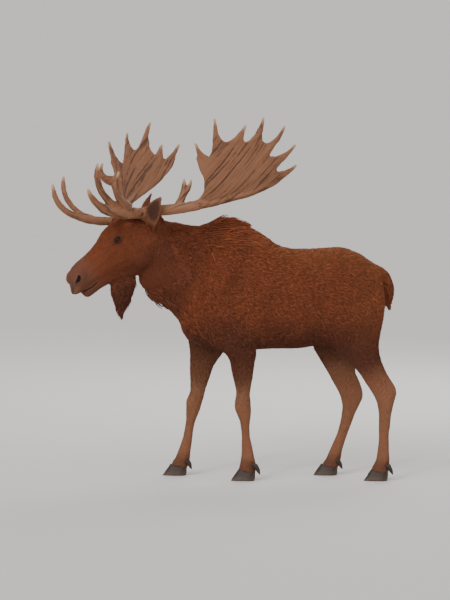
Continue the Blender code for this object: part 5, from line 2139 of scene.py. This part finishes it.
@dataclass
class Studio:
    """The floor, soft lights and the camera, which looks level-headed at the animal's left side from afar."""

    distance: float = 40.0
    elevation: float = math.radians(5)
    aim: tuple = (0.0030, -0.079, 1.307)
    frame_height: float = 4.38
    sensor: float = 36.0
    floor_radius: float = 260.0

    def build(self) -> None:
        """Sets up the studio."""
        self.floor()
        self.sun("key_light", (-3.5, -7.0, 7.0), 2.0, 50)
        self.sun("glint_light", (-3.0, -6.5, 5.0), 0.6, 9)
        self.sun("fill_light", (7.0, -5.0, 4.0), 0.85, 80)
        self.lamp("back_light", "AREA", (2.5, 6.5, 6.0), energy=320.0, size=5.0)
        world = bpy.data.worlds.new("studio_air")
        world.use_nodes = True
        world.node_tree.nodes["Background"].inputs["Color"].default_value = linear("#eceae8")
        world.node_tree.nodes["Background"].inputs["Strength"].default_value = 0.62
        bpy.context.scene.world = world
        self.camera()

    def sun(self, name: str, place: tuple, power: float, spread: float) -> None:
        """A very soft light from that side, as even far off as it is near, with its spread in degrees."""
        self.lamp(name, "SUN", place, energy=power, angle=math.radians(spread))

    def lamp(self, name: str, kind: str, place: tuple, **settings: float) -> None:
        """Hangs a light, turned to the animal's middle.

        Args:
            name: The light's name.
            kind: Its kind in Blender.
            place: Where it hangs.
            settings: Its other settings, by their names in Blender.
        """
        data = bpy.data.lights.new(name, kind)
        for key, value in settings.items():
            setattr(data, key, value)
        shown = put(name, data)
        shown.location = place
        shown.rotation_euler = (Vector(self.aim) - Vector(place)).to_track_quat("-Z", "Y").to_euler()

    def floor(self) -> None:
        """A round pale floor out to the horizon."""
        bm = bmesh.new()
        bmesh.ops.create_circle(bm, cap_ends=True, segments=96, radius=self.floor_radius)
        mesh = closed(bm, bpy.data.meshes.new("floor"))
        mesh.materials.append(FloorFinish().material())
        put("floor", mesh)

    def camera(self) -> None:
        """The camera, far off behind a long lens, as the side view is nearly without perspective."""
        lens = bpy.data.cameras.new("camera")
        lens.sensor_width = self.sensor
        lens.lens = self.sensor * self.distance / self.frame_height
        lens.clip_end = 1000.0
        shown = put("camera", lens)
        back = Vector((0, -math.cos(self.elevation), math.sin(self.elevation))) * self.distance
        shown.location = Vector(self.aim) + back
        shown.rotation_euler = (-back).to_track_quat("-Z", "Y").to_euler()
        bpy.context.scene.camera = shown


def main() -> None:
    """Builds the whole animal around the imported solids, and the studio."""
    logging.basicConfig(level=logging.INFO, format="%(relativeCreated)d ms %(message)s", stream=sys.stdout)
    skin = Skin(Skull())
    skin.build()
    short_hair = SkinFinish().material()
    piece("skin", skin.mesh, short_hair, "coat", *skin.nodes)
    grower, hair = Grower(), HairFinish().material()
    Coat(skin, grower, hair).build()
    cornea = EyeFinish().material()
    for side, _ in SIDES:
        eye = Eye(skin, side)
        eye.ball(cornea)
        eye.lids(short_hair)
        eye.lashes(grower, hair)
    bone = AntlerFinish().material()
    for side, _ in SIDES:
        Antler(side, skin.skull).build(bone)
    horn = HoofFinish().material()
    for limb in LIMBS:
        Hoof(limb).build(horn)
    for locks in (grower.short, grower.long):
        for lock in list(locks.objects):
            bpy.data.objects.remove(lock)
        bpy.data.collections.remove(locks)
    Studio().build()


if __name__ == "__main__":
    main()
